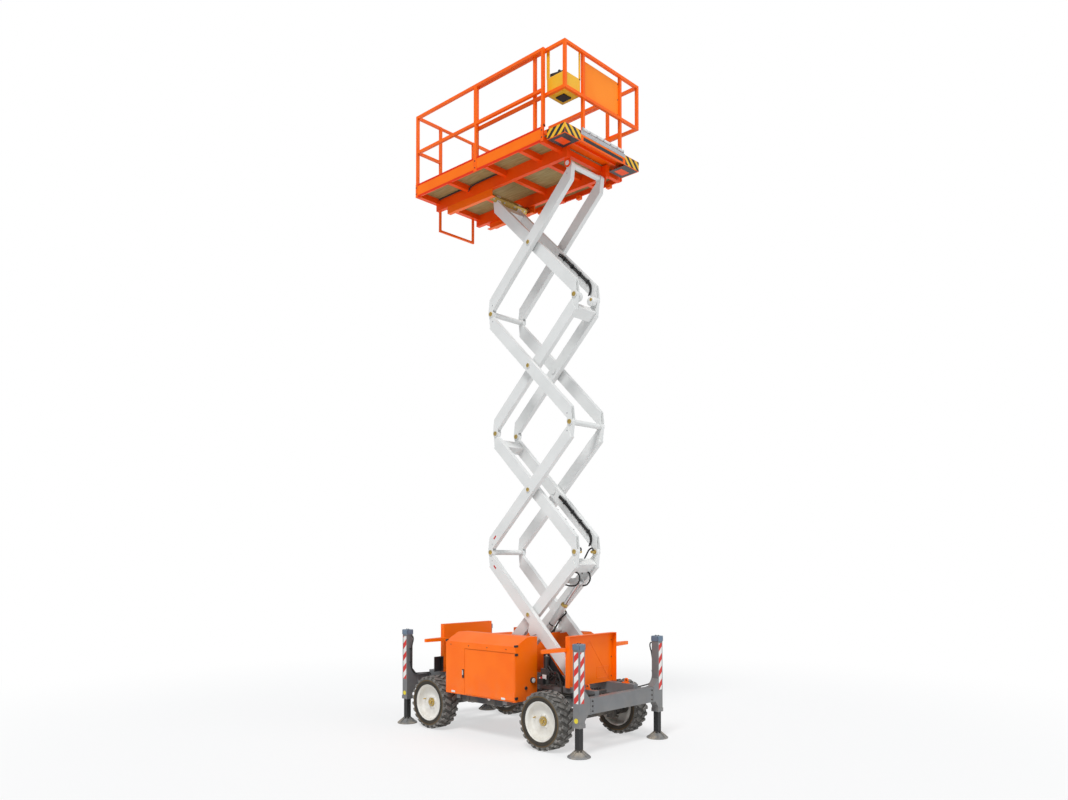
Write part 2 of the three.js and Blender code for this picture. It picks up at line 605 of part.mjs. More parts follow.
function sideGuard(side) {
  const y = deck.halfWidth - guard.tube / 2;
  const top = guard.top - guard.tube / 2;
  const foot = deck.skirtTop + seat;
  const rearX = deck.rear + guard.tube / 2;
  const rails = join(
    tubeX([deck.rear, guard.frontPostX], y, top),
    tubeX([deck.rear, guard.frontPostX], y, guard.midZ),
    tubeZ(rearX, y, [foot, guard.top]),
    tubeZ(guard.midPostX, y, [foot, guard.top]),
    block(around(guard.midPostX, guard.midPostWidth), around(y, guard.tube), [guard.midZ, guard.top]),
    tubeZ(guard.frontPostX, y, [foot, guard.top]),
  );
  return side > 0 ? rails : mirrorY(rails);
}

function rearGuard(side) {
  const x = deck.rear + guard.tube / 2;
  const post = side > 0 ? entry.leftY : -entry.rightY;
  const outer = deck.halfWidth - guard.tube - seat;
  const top = guard.top - guard.tube / 2;
  const rails = join(
    tubeY(x, [post, outer], top),
    tubeY(x, [post, outer], guard.midZ),
    tubeZ(x, post, [deck.skirtTop - entry.skirtDrop + seat, guard.top]),
  );
  return side > 0 ? rails : mirrorY(rails);
}

function entryBar() {
  const x = deck.rear + guard.tube / 2;
  const half = guard.tube / 2;
  return tubeY(x, [entry.rightY + half + moveGap, entry.leftY - half - seat], guard.top - half);
}

function entryStep() {
  const t = entry.stepTube;
  const x = deck.rear + t / 2;
  const top = deck.skirtBottom - seat;
  return join(
    tubeZ(x, entry.rightY, [entry.stepBottom, top], t),
    tubeZ(x, entry.leftY, [entry.stepBottom, top], t),
    tubeY(x, [entry.rightY - t / 2, entry.leftY + t / 2], entry.stepBottom + t / 2, t),
  );
}

// ---- roll-out deck ----

function slideDeckBody() {
  const d = slideDeck;
  const w = slideToe.wall;
  const runnerY = [slideHalfWidth - runner.inner, slideHalfWidth - runner.outer];
  const parts = [
    block([d.rear, d.front], [-slideHalfWidth, slideHalfWidth], [d.bottom, d.bottom + d.thickness]),
    block([d.front - w, d.front], [-slideHalfWidth, slideHalfWidth], [slideToe.bottom, slideToe.top]),
    bothSides(block([d.toeRear, d.front], [slideHalfWidth - w, slideHalfWidth], [slideToe.bottom, slideToe.top])),
    bothSides(block([d.rear, deck.front - runner.fromFront], runnerY,
      [floor.thickness + runGap, d.bottom + 1])),
  ];
  return join(...parts);
}

function slideGuardBody() {
  const d = slideDeck;
  const half = guard.tube / 2;
  const y = slideHalfWidth - half;
  const x = d.front - half;
  const top = guard.top - half;
  const mid = slideGuard.midZ;
  const foot = d.bottom + d.thickness + seat;
  const side = [
    tubeX([slideGuard.rearPostX - half, d.front], y, top),
    tubeX([slideGuard.rearPostX - half, d.front], y, mid),
    tubeZ(slideGuard.rearPostX, y, [foot, guard.top]),
    tubeZ(slideGuard.sidePostX, y, [foot, guard.top]),
    tubeZ(x, y, [mid - half, guard.top]),
    tubeZ(x - slideToe.wall, slideGuard.frontPostY, [foot, guard.top]),
  ];
  const across = [tubeY(x, [-slideHalfWidth, slideHalfWidth], top), tubeY(x, [-slideHalfWidth, slideHalfWidth], mid)];
  return join(bothSides(join(...side)), ...across);
}

function frontPanel() {
  const y = slideGuard.frontPostY - guard.tube / 2 - seat;
  const x = slideDeck.front - guard.tube - seat;
  return block([x - slideGuard.panelWall, x], [-y, y], [slideGuard.panelBottom, slideGuard.panelTop]);
}

function controlBox() {
  const inset = guard.tube + seat;
  return block([controls.rear, slideDeck.front - inset], [-slideHalfWidth + inset, -controls.innerY],
    [controls.bottom, controls.top]);
}

// ---- assembly ----

const sides = [['right', -1], ['left', 1]];
const ends = [['front', 1], ['rear', -1]];

place('chassis_frame', chassisFrame(), grey);
place('front_axle', frontAxle(), black);
place('rear_axle', rearAxle(), black);
for (const [sideName, side] of sides) {
  place(`${sideName}_knuckle`, knuckle(side), black);
  place(`${sideName}_box`, sideBox(side), orange);
  place(`${sideName}_box_roof`, sideBoxRoof(side), orange);
  place(`${sideName}_box_door`, sideBoxDoor(side), orange);
  place(`${sideName}_bottom_track`, rollerTrack(side, basePin.z, 1), grey);
}
for (const [endName, end] of ends) {
  place(`${endName}_jack_beam`, jackBeam(end), grey);
  place(`${endName}_cover`, endCover(end), orange);
  for (const [sideName, side] of sides) {
    const x = (end * wheel.base) / 2;
    place(`${endName}_${sideName}_rim`, rim(x, side), white);
    place(`${endName}_${sideName}_tyre`, tyre(x, side), rubber);
    place(`${endName}_${sideName}_jack_leg`, jackLeg(end, side), black);
  }
}
place('engine_block', block(around(engine.x, engine.length),
  [-box.innerY - engine.wallGap - engine.width, -box.innerY - engine.wallGap],
  [box.bottom + box.wall + seat, box.bottom + box.wall + engine.height]), black);

const crossingX = basePin.x - span / 2;
const arms = {};
for (let stage = 1; stage <= arm.stages; stage += 1) {
  const crossingZ = basePin.z + (stage - 0.5) * pitch;
  const leansBack = stage % 2 === 1;
  const stand = (solid, name, back) => {
    const holder = new THREE.Group();
    holder.position.set(crossingX, 0, crossingZ);
    holder.rotation.set(0, back ? beamTilt : -beamTilt, back ? Math.PI : 0);
    model.add(holder);
    arms[name] = holder;
    place(name, solid, white, holder);
  };
  stand(outerFrame(stage), `outer_arm_${stage}`, leansBack);
  stand(innerFrame(stage), `inner_arm_${stage}`, !leansBack);
}

const bottomRollers = place('bottom_rollers', rollerSet(), steel);
bottomRollers.position.set(rearPinX, 0, basePin.z);
const topRollers = place('top_rollers', rollerSet(), zinc);
topRollers.position.set(rearPinX, 0, topPinZ);

model.updateMatrixWorld(true);
const liftFoot = new THREE.Vector3(lift.baseAlong, 0, -lift.baseDrop).applyMatrix4(arms.outer_arm_1.matrixWorld);
const liftHead = new THREE.Vector3(lift.eyeAlong, 0, -lift.eyeDrop).applyMatrix4(arms.inner_arm_1.matrixWorld);
const liftLine = liftHead.clone().sub(liftFoot);
const liftHolder = new THREE.Group();
liftHolder.position.copy(liftFoot);
liftHolder.rotation.y = -Math.atan2(liftLine.z, liftLine.x);
model.add(liftHolder);
place('lift_barrel', liftBarrel(), grey, liftHolder);
place('lift_rod', liftRod(liftLine.length()), steel, liftHolder);

const platform = new THREE.Group();
platform.position.z = topPinZ + floor.rise;
model.add(platform);
place('platform_frame', platformFrame(), orange, platform);
place('platform_floor', platformFloor(), grey, platform);
for (const [sideName, side] of sides) {
  place(`${sideName}_top_track`, rollerTrack(side, -floor.rise, -1), orange, platform);
  place(`${sideName}_guard_rail`, sideGuard(side), orange, platform);
  place(`rear_${sideName}_guard_rail`, rearGuard(side), orange, platform);
}
place('entry_bar', entryBar(), orange, platform);
place('entry_step', entryStep(), orange, platform);
place('slide_deck', slideDeckBody(), orange, platform);
place('slide_guard_rail', slideGuardBody(), orange, platform);
place('front_panel', frontPanel(), orange, platform);
place('control_box', controlBox(), yellow, platform);

export default model;
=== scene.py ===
import json
import math
import bpy
import bmesh
from mathutils import Matrix, Vector

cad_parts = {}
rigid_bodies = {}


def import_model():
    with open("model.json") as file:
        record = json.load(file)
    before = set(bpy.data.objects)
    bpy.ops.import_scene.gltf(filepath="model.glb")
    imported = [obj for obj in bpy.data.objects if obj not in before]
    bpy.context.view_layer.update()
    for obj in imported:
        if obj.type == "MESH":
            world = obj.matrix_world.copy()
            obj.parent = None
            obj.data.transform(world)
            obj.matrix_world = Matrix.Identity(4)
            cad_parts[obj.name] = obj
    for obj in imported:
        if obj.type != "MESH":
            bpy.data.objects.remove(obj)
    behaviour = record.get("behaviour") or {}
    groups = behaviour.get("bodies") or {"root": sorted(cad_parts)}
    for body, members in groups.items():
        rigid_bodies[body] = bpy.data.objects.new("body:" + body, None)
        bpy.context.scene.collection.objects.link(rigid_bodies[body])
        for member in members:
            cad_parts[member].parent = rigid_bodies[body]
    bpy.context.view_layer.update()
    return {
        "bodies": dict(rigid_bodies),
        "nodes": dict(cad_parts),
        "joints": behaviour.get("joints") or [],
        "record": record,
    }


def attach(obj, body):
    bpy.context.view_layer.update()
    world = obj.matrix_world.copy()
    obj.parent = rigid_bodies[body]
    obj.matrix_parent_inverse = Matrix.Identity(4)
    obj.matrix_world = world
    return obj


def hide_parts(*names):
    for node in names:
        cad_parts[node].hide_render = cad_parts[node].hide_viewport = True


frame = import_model()
nodes = frame["nodes"]
print("frame loaded:", len(nodes), "CAD nodes")


camera = {
    "place": (8.260, -8.610, 2.307),
    "heading": 133.34,   # degrees from +X, anticlockwise
    "pitch": 1.26,       # degrees above level
    "lens": 29.27,
    "shiftY": 0.133,
}
heading = math.radians(camera["heading"])
pitch = math.radians(camera["pitch"])
aim = Vector((math.cos(heading) * math.cos(pitch), math.sin(heading) * math.cos(pitch), math.sin(pitch)))
cameraData = bpy.data.cameras.new("liftCamera")
cameraData.lens = camera["lens"]
cameraData.sensor_width = 36.0
cameraData.shift_y = camera["shiftY"]
cameraData.clip_end = 200.0
cameraObject = bpy.data.objects.new("liftCamera", cameraData)
bpy.context.collection.objects.link(cameraObject)
cameraObject.location = camera["place"]
cameraObject.rotation_mode = "QUATERNION"
cameraObject.rotation_quaternion = aim.to_track_quat("-Z", "Y")
bpy.context.scene.camera = cameraObject

studio = {
    "keyStrength": 1.95, "keyFrom": (3.0, -6.0, 9.0), "keyAngle": 18,
    "fillStrength": 0.65, "fillFrom": (9.0, 3.0, 4.0), "fillAngle": 40,
    "skyStrength": 0.50, "floorColour": (0.86, 0.86, 0.86),
    "floorFade": (4.5, 11.0),
}


def addSun(name, strength, comesFrom, angle):
    data = bpy.data.lights.new(name, "SUN")
    data.energy = strength
    data.angle = math.radians(angle)
    lamp = bpy.data.objects.new(name, data)
    lamp.rotation_mode = "QUATERNION"
    lamp.rotation_quaternion = Vector(comesFrom).to_track_quat("Z", "Y")
    bpy.context.collection.objects.link(lamp)


addSun("keyLamp", studio["keyStrength"], studio["keyFrom"], studio["keyAngle"])
addSun("fillLamp", studio["fillStrength"], studio["fillFrom"], studio["fillAngle"])
bpy.context.scene.view_settings.view_transform = "Standard"


def link(tree, source, target):
    tree.links.new(source, target)


def mathNode(tree, kind, first, second=None, clamp=False):
    node = tree.nodes.new("ShaderNodeMath")
    node.operation = kind
    node.use_clamp = clamp
    for socket, value in zip(node.inputs, (first, second)):
        if isinstance(value, bpy.types.NodeSocket):
            link(tree, value, socket)
        elif value is not None:
            socket.default_value = value
    return node.outputs[0]


def rayMask(tree):
    path = tree.nodes.new("ShaderNodeLightPath")
    seen = mathNode(tree, "MAXIMUM", path.outputs["Is Camera Ray"], path.outputs["Is Glossy Ray"])
    return mathNode(tree, "MAXIMUM", seen, path.outputs["Is Transmission Ray"])


def studioWorld():
    world = bpy.data.worlds.new("studio")
    bpy.context.scene.world = world
    world.use_nodes = True
    tree = world.node_tree
    tree.nodes.clear()
    light = tree.nodes.new("ShaderNodeBackground")
    light.inputs["Color"].default_value = (0.94, 0.97, 1.0, 1)
    light.inputs["Strength"].default_value = studio["skyStrength"]
    seen = tree.nodes.new("ShaderNodeBackground")
    seen.inputs["Color"].default_value = (1, 1, 1, 1)
    seen.inputs["Strength"].default_value = 1.0
    path = tree.nodes.new("ShaderNodeLightPath")
    mix = tree.nodes.new("ShaderNodeMixShader")
    out = tree.nodes.new("ShaderNodeOutputWorld")
    link(tree, path.outputs["Is Camera Ray"], mix.inputs[0])
    link(tree, light.outputs[0], mix.inputs[1])
    link(tree, seen.outputs[0], mix.inputs[2])
    link(tree, mix.outputs[0], out.inputs["Surface"])


def studioFloor():
    mesh = bpy.data.meshes.new("studioFloor")
    half = 60.0
    corners = [(-half, -half, -0.002), (half, -half, -0.002), (half, half, -0.002), (-half, half, -0.002)]
    mesh.from_pydata(corners, [], [(0, 1, 2, 3)])
    floorObject = bpy.data.objects.new("studioFloor", mesh)
    bpy.context.collection.objects.link(floorObject)
    material = bpy.data.materials.new("studioFloor")
    material.use_nodes = True
    tree = material.node_tree
    surface = tree.nodes["Principled BSDF"]
    surface.inputs["Base Color"].default_value = (*studio["floorColour"], 1)
    surface.inputs["Roughness"].default_value = 0.9
    glow = tree.nodes.new("ShaderNodeEmission")
    coordinate = tree.nodes.new("ShaderNodeTexCoord")
    reach = tree.nodes.new("ShaderNodeVectorMath")
    reach.operation = "LENGTH"
    link(tree, coordinate.outputs["Object"], reach.inputs[0])
    fade = tree.nodes.new("ShaderNodeMapRange")
    fade.interpolation_type = "SMOOTHSTEP"
    fade.inputs["From Min"].default_value = studio["floorFade"][0]
    fade.inputs["From Max"].default_value = studio["floorFade"][1]
    fade.inputs["To Min"].default_value = 0.55
    link(tree, reach.outputs["Value"], fade.inputs["Value"])
    mix = tree.nodes.new("ShaderNodeMixShader")
    link(tree, mathNode(tree, "MULTIPLY", fade.outputs[0], rayMask(tree)), mix.inputs[0])
    link(tree, surface.outputs[0], mix.inputs[1])
    link(tree, glow.outputs[0], mix.inputs[2])
    link(tree, mix.outputs[0], tree.nodes["Material Output"].inputs["Surface"])
    mesh.materials.append(material)


studioWorld()
studioFloor()
print("camera, lamps and floor made")


def newGroup(name, inputs, outputs):
    tree = bpy.data.node_groups.new(name, "ShaderNodeTree")
    for label, kind, value in inputs:
        socket = tree.interface.new_socket(label, in_out="INPUT", socket_type="NodeSocket" + kind)
        socket.default_value = value
    for label, kind in outputs:
        tree.interface.new_socket(label, in_out="OUTPUT", socket_type="NodeSocket" + kind)
    return tree, tree.nodes.new("NodeGroupInput").outputs, tree.nodes.new("NodeGroupOutput").inputs


def noiseNode(tree, scale, detail=3.0, roughness=0.5, stretch=None):
    coordinate = tree.nodes.new("ShaderNodeTexCoord")
    noise = tree.nodes.new("ShaderNodeTexNoise")
    noise.inputs["Detail"].default_value = detail
    noise.inputs["Roughness"].default_value = roughness
    source = coordinate.outputs["Object"]
    if stretch:
        mapping = tree.nodes.new("ShaderNodeMapping")
        mapping.inputs["Scale"].default_value = stretch
        link(tree, source, mapping.inputs["Vector"])
        source = mapping.outputs[0]
    link(tree, source, noise.inputs["Vector"])
    if isinstance(scale, bpy.types.NodeSocket):
        link(tree, scale, noise.inputs["Scale"])
    else:
        noise.inputs["Scale"].default_value = scale
    return noise.outputs["Fac"]


def stepNode(tree, value, low, high):
    node = tree.nodes.new("ShaderNodeMapRange")
    node.interpolation_type = "SMOOTHSTEP"
    link(tree, value, node.inputs["Value"])
    for label, edge in (("From Min", low), ("From Max", high)):
        if isinstance(edge, bpy.types.NodeSocket):
            link(tree, edge, node.inputs[label])
        else:
            node.inputs[label].default_value = edge
    return node.outputs[0]


# Wear on rounded edges: the rounding tools mark their faces with the "edge" attribute.
wornEdges, given, result = newGroup("wornEdges", [("Amount", "Float", 0.5), ("Scale", "Float", 30.0)],
                                    [("Mask", "Float")])
edgeMark = wornEdges.nodes.new("ShaderNodeAttribute")
edgeMark.attribute_name = "edge"
patches = stepNode(wornEdges, noiseNode(wornEdges, given["Scale"], 4.0, 0.6), 0.42, 0.62)
link(wornEdges, mathNode(wornEdges, "MULTIPLY", mathNode(wornEdges, "MULTIPLY", edgeMark.outputs["Fac"],
                                                         patches),
                         given["Amount"]), result["Mask"])

# Dust gathers low down and on faces that look up.
roadDust, given, result = newGroup(
    "roadDust",
    [("Amount", "Float", 0.4), ("Floor", "Float", 0.1), ("Ceiling", "Float", 1.2), ("Scale", "Float", 6.0)],
    [("Mask", "Float")])
place = roadDust.nodes.new("ShaderNodeTexCoord")
split = roadDust.nodes.new("ShaderNodeSeparateXYZ")
link(roadDust, place.outputs["Object"], split.inputs[0])
lowDown = stepNode(roadDust, split.outputs["Z"], given["Ceiling"], given["Floor"])
geometry = roadDust.nodes.new("ShaderNodeNewGeometry")
facing = roadDust.nodes.new("ShaderNodeSeparateXYZ")
link(roadDust, geometry.outputs["Normal"], facing.inputs[0])
upward = stepNode(roadDust, facing.outputs["Z"], 0.2, 0.9)
blotch = stepNode(roadDust, noiseNode(roadDust, given["Scale"], 5.0, 0.62), 0.34, 0.66)
settled = mathNode(roadDust, "ADD", lowDown, mathNode(roadDust, "MULTIPLY", upward, 0.35), clamp=True)
link(roadDust, mathNode(roadDust, "MULTIPLY", mathNode(roadDust, "MULTIPLY", settled, blotch),
                        given["Amount"]),
     result["Mask"])

# Fine unevenness of paint, casting and moulding, with a slow change of tone.
surfaceGrain, given, result = newGroup(
    "surfaceGrain", [("Fine", "Float", 400.0), ("Broad", "Float", 3.0)],
    [("Height", "Float"), ("Tone", "Float")])
link(surfaceGrain, noiseNode(surfaceGrain, given["Fine"], 2.0), result["Height"])
link(surfaceGrain, stepNode(surfaceGrain, noiseNode(surfaceGrain, given["Broad"], 3.0), 0.3, 0.7),
     result["Tone"])

# Slanted warning stripes: the slope along X and along Y for each metre of height, and the width of one pair.
slantStripes, given, result = newGroup(
    "slantStripes", [("Pair", "Float", 0.16), ("Along X", "Float", 1.0), ("Along Y", "Float", 1.0)],
    [("Mask", "Float")])
place = slantStripes.nodes.new("ShaderNodeTexCoord")
split = slantStripes.nodes.new("ShaderNodeSeparateXYZ")
link(slantStripes, place.outputs["Object"], split.inputs[0])
slant = mathNode(slantStripes, "ADD", mathNode(slantStripes, "MULTIPLY", split.outputs["X"],
                                               given["Along X"]),
                 mathNode(slantStripes, "MULTIPLY", split.outputs["Y"], given["Along Y"]))
turns = mathNode(slantStripes, "DIVIDE", mathNode(slantStripes, "SUBTRACT", split.outputs["Z"], slant),
                 given["Pair"])
wave = mathNode(slantStripes, "PINGPONG", turns, 0.5)
link(slantStripes, stepNode(slantStripes, wave, 0.235, 0.265), result["Mask"])
print("shader groups made")


def groupNode(tree, group, **values):
    node = tree.nodes.new("ShaderNodeGroup")
    node.node_tree = group
    for label, value in values.items():
        node.inputs[label.replace("_", " ")].default_value = value
    return node.outputs


def mixColour(tree, mask, under, over):
    node = tree.nodes.new("ShaderNodeMix")
    node.data_type = "RGBA"
    link(tree, mask, node.inputs[0])
    for socket, value in ((node.inputs[6], under), (node.inputs[7], over)):
        if isinstance(value, bpy.types.NodeSocket):
            link(tree, value, socket)
        else:
            socket.default_value = (*value, 1)
    return node.outputs[2]


def mixValue(tree, mask, under, over):
    node = tree.nodes.new("ShaderNodeMix")
    link(tree, mask, node.inputs[0])
    for socket, value in ((node.inputs[2], under), (node.inputs[3], over)):
        if isinstance(value, bpy.types.NodeSocket):
            link(tree, value, socket)
        else:
            socket.default_value = value
    return node.outputs[0]


def makeFinish(name, look):
    material = bpy.data.materials.new(name)
    material.use_nodes = True
    tree = material.node_tree
    surface = tree.nodes["Principled BSDF"]
    grain = groupNode(tree, surfaceGrain, Fine=look.get("fine", 400.0), Broad=look.get("broad", 2.5))
    colour = mixColour(tree, grain["Tone"], look["colour"], look.get("tone", look["colour"]))
    if "stripe" in look:
        stripes = groupNode(tree, slantStripes, Pair=look["pair"], Along_X=look["alongX"],
                            Along_Y=look["alongY"])
        colour = mixColour(tree, stripes["Mask"], colour, look["stripe"])
    if "streak" in look:   # rolled or brushed direction
        brushed = noiseNode(tree, 60.0, 3.0, 0.5, look["streakStretch"])
        colour = mixColour(tree, stepNode(tree, brushed, 0.35, 0.7), colour, look["streak"])
    rough = look["rough"]
    wear = groupNode(tree, wornEdges, Amount=look.get("wear", 0.0), Scale=look.get("wearScale", 30.0))["Mask"]
    dust = groupNode(tree, roadDust, Amount=look.get("dust", 0.0), Floor=look.get("dustFloor", 0.05),
                     Ceiling=look.get("dustCeiling", 1.1), Scale=look.get("dustScale", 6.0))["Mask"]
    colour = mixColour(tree, wear, colour, look.get("bare", (0.55, 0.54, 0.52)))
    colour = mixColour(tree, dust, colour, look.get("dustColour", (0.42, 0.36, 0.28)))
    link(tree, colour, surface.inputs["Base Color"])
    roughness = mixValue(tree, grain["Tone"], rough, rough + look.get("roughSpread", 0.08))
    link(tree, mixValue(tree, dust, roughness, 0.92), surface.inputs["Roughness"])
    surface.inputs["Metallic"].default_value = look.get("metal", 0.0)
    surface.inputs["Specular IOR Level"].default_value = look.get("sheen", 0.5)
    surface.inputs["Coat Weight"].default_value = look.get("coat", 0.0)
    surface.inputs["Coat Roughness"].default_value = 0.18
    bump = tree.nodes.new("ShaderNodeBump")
    bump.inputs["Strength"].default_value = look.get("bump", 0.12)
    bump.inputs["Distance"].default_value = look.get("bumpDepth", 0.0006)
    link(tree, grain["Height"], bump.inputs["Height"])
    link(tree, bump.outputs[0], surface.inputs["Normal"])
    material.diffuse_color = (*look["colour"], 1)
    return material


finishLooks = {
    "orangePaint": {"colour": (1.0, 0.175, 0.0), "tone": (0.97, 0.150, 0.0), "rough": 0.34, "coat": 0.06,
                    "sheen": 0.25,
                    "wear": 0.35, "bare": (0.72, 0.26, 0.10), "dust": 0.16, "dustCeiling": 1.0},
    "deckOrange": {"colour": (1.0, 0.145, 0.0), "tone": (0.94, 0.115, 0.0), "rough": 0.38, "coat": 0.04,
                   "sheen": 0.25, "wear": 0.35, "bare": (0.75, 0.24, 0.08)},
    # A darker, redder copy of the orange paint for the platform's underside frame and the slide deck's cross
    # bars: painted shade.
    "shadedFrameOrange": {"colour": (0.95, 0.085, 0.0), "tone": (0.86, 0.065, 0.0), "rough": 0.40, "coat": 0.04,
                    "sheen": 0.25, "wear": 0.35, "bare": (0.62, 0.18, 0.06)},
    "panelOrange": {"colour": (1.0, 0.27, 0.012), "tone": (0.98, 0.24, 0.010), "rough": 0.45,
                    "sheen": 0.25, "wear": 0.3, "bare": (0.80, 0.32, 0.10)},
    "whitePaint": {"colour": (0.76, 0.765, 0.755), "tone": (0.70, 0.71, 0.70), "rough": 0.36, "coat": 0.2,
                   "wear": 0.5, "bare": (0.40, 0.38, 0.35), "dust": 0.12, "dustCeiling": 1.6},
    "rimPaint": {"colour": (0.80, 0.79, 0.75), "tone": (0.74, 0.72, 0.66), "rough": 0.40, "coat": 0.1,
                 "wear": 0.6, "dust": 0.35, "dustFloor": 0.1, "dustCeiling": 0.75, "dustScale": 9.0},
    "greyPaint": {"colour": (0.175, 0.180, 0.187), "tone": (0.145, 0.149, 0.155), "rough": 0.40, "coat": 0.1,
                  "wear": 0.5, "bare": (0.36, 0.35, 0.33), "dust": 0.30, "dustCeiling": 0.9},
    "capPaint": {"colour": (0.13, 0.19, 0.27), "tone": (0.11, 0.16, 0.22), "rough": 0.35, "wear": 0.5},
    "blackPaint": {"colour": (0.016, 0.016, 0.018), "tone": (0.024, 0.024, 0.025), "rough": 0.38, "coat": 0.1,
                   "wear": 0.5, "bare": (0.30, 0.29, 0.27), "dust": 0.45, "dustCeiling": 0.8},
    "legPaint": {"colour": (0.010, 0.010, 0.011), "tone": (0.014, 0.014, 0.014), "rough": 0.45, "wear": 0.2,
                 "bare": (0.12, 0.12, 0.11), "dust": 0.03, "dustCeiling": 0.2},
    "blackPlastic": {"colour": (0.018, 0.018, 0.019), "tone": (0.024, 0.024, 0.025), "rough": 0.52,
                     "bump": 0.3, "fine": 700.0},
    "hoseRubber": {"colour": (0.014, 0.014, 0.015), "tone": (0.022, 0.021, 0.02), "rough": 0.6, "bump": 0.35,
                   "fine": 900.0, "dust": 0.2},
    "footSteel": {"colour": (0.23, 0.235, 0.235), "tone": (0.16, 0.16, 0.16), "rough": 0.55, "wear": 0.7,
                  "dust": 0.8, "dustFloor": 0.02, "dustCeiling": 0.30, "bump": 0.4},
    "brightSteel": {"colour": (0.62, 0.62, 0.63), "tone": (0.50, 0.50, 0.51), "rough": 0.24, "metal": 0.9,
                    "streak": (0.70, 0.70, 0.70), "streakStretch": (1, 1, 0.05)},
    "goldZinc": {"colour": (0.62, 0.42, 0.10), "tone": (0.50, 0.36, 0.12), "rough": 0.32, "metal": 0.75,
                 "wear": 0.4, "roughSpread": 0.15, "broad": 25.0},
    "tyreRubber": {"colour": (0.070, 0.067, 0.062), "tone": (0.11, 0.105, 0.095), "rough": 0.78, "bump": 0.5,
                   "fine": 260.0, "broad": 8.0, "dust": 0.50, "dustFloor": -0.4, "dustCeiling": 1.0,
                   "dustColour": (0.26, 0.24, 0.21), "dustScale": 14.0},
    "ringRubber": {"colour": (0.115, 0.072, 0.026), "tone": (0.085, 0.055, 0.024), "rough": 0.72, "bump": 0.3,
                   "fine": 300.0, "dust": 0.15, "dustCeiling": 0.9, "dustColour": (0.22, 0.17, 0.11)},
    "sidewallRubber": {"colour": (0.020, 0.018, 0.014), "tone": (0.036, 0.029, 0.020), "rough": 0.66,
                       "bump": 0.3, "fine": 300.0, "broad": 9.0, "dust": 0.14, "dustCeiling": 0.9,
                       "dustColour": (0.18, 0.13, 0.08)},
    "treadRubber": {"colour": (0.095, 0.092, 0.088), "tone": (0.17, 0.165, 0.155), "rough": 0.82, "bump": 0.6,
                    "fine": 200.0, "broad": 12.0, "wear": 0.8, "bare": (0.26, 0.25, 0.24), "dust": 0.75,
                    "dustFloor": -0.6, "dustCeiling": 1.2, "dustColour": (0.34, 0.32, 0.29),
                    "dustScale": 18.0},
    "redWhiteTape": {"colour": (0.78, 0.77, 0.75), "tone": (0.72, 0.71, 0.69), "stripe": (0.62, 0.018, 0.012),
                     "pair": 0.166, "alongX": 1.0, "alongY": 1.0, "rough": 0.34, "dust": 0.15},
    "hazardTape": {"colour": (0.90, 0.52, 0.015), "tone": (0.84, 0.47, 0.015), "stripe": (0.02, 0.02, 0.02),
                   "pair": 0.12, "alongX": 1.0, "alongY": -1.0, "rough": 0.36, "wear": 0.4},
    "yellowPlastic": {"colour": (0.90, 0.50, 0.012), "tone": (0.86, 0.46, 0.012), "rough": 0.42, "coat": 0.1,
                      "bump": 0.25, "fine": 600.0, "wear": 0.25},
    "yellowVinyl": {"colour": (0.80, 0.66, 0.02), "tone": (0.72, 0.58, 0.02), "rough": 0.4, "dust": 0.15},
    "redPlastic": {"colour": (0.60, 0.015, 0.012), "tone": (0.52, 0.012, 0.01), "rough": 0.35, "coat": 0.3},
    "whiteLens": {"colour": (0.80, 0.80, 0.78), "tone": (0.74, 0.74, 0.72), "rough": 0.18, "coat": 0.6,
                  "bump": 0.5, "fine": 260.0},
    "floorPly": {"colour": (0.30, 0.22, 0.07), "tone": (0.24, 0.17, 0.05), "rough": 0.6, "bump": 0.3,
                 "streak": (0.38, 0.29, 0.12), "streakStretch": (0.08, 1, 1)},
    "treadPlate": {"colour": (0.42, 0.42, 0.41), "tone": (0.36, 0.36, 0.35), "rough": 0.42, "metal": 0.5,
                   "wear": 0.6, "bare": (0.6, 0.6, 0.6)},
    "galvanised": {"colour": (0.50, 0.51, 0.52), "tone": (0.42, 0.43, 0.44), "rough": 0.42, "metal": 0.35,
                   "broad": 18.0, "wear": 0.4},
    "skirtOrange": {"colour": (1.0, 0.185, 0.0), "tone": (0.97, 0.160, 0.0), "rough": 0.38, "sheen": 0.25},
    # A dark red copy of the orange for the lips of the platform's skirts: painted shade.
    "shadedLipRed": {"colour": (0.80, 0.030, 0.0), "tone": (0.74, 0.022, 0.0), "rough": 0.4, "coat": 0.05,
               "sheen": 0.25},
    "darkCast": {"colour": (0.035, 0.035, 0.037), "tone": (0.05, 0.05, 0.05), "rough": 0.55, "bump": 0.6,
                 "fine": 180.0, "dust": 0.25},
}
finishes = {name: makeFinish(name, look) for name, look in finishLooks.items()}
print("finishes made:", len(finishes))


def newTree(name, inputs):
    tree = bpy.data.node_groups.new(name, "GeometryNodeTree")
    tree.interface.new_socket("Geometry", in_out="INPUT", socket_type="NodeSocketGeometry")
    for label, kind, value in inputs:
        socket = tree.interface.new_socket(label, in_out="INPUT", socket_type="NodeSocket" + kind)
        if value is not None:
            socket.default_value = value
    tree.interface.new_socket("Geometry", in_out="OUTPUT", socket_type="NodeSocketGeometry")
    return tree, tree.nodes.new("NodeGroupInput").outputs, tree.nodes.new("NodeGroupOutput").inputs


def endTree(tree, geometry, material, result):
    realize = tree.nodes.new("GeometryNodeRealizeInstances")
    paint = tree.nodes.new("GeometryNodeSetMaterial")
    link(tree, geometry, realize.inputs[0])
    link(tree, realize.outputs[0], paint.inputs["Geometry"])
    link(tree, material, paint.inputs["Material"])
    link(tree, paint.outputs[0], result[0])


def vectorNode(tree, kind, first, second):
    node = tree.nodes.new("ShaderNodeVectorMath")
    node.operation = kind
    link(tree, first, node.inputs[0])
    link(tree, second, node.inputs["Scale"] if kind == "SCALE" else node.inputs[1])
    return node.outputs[0]


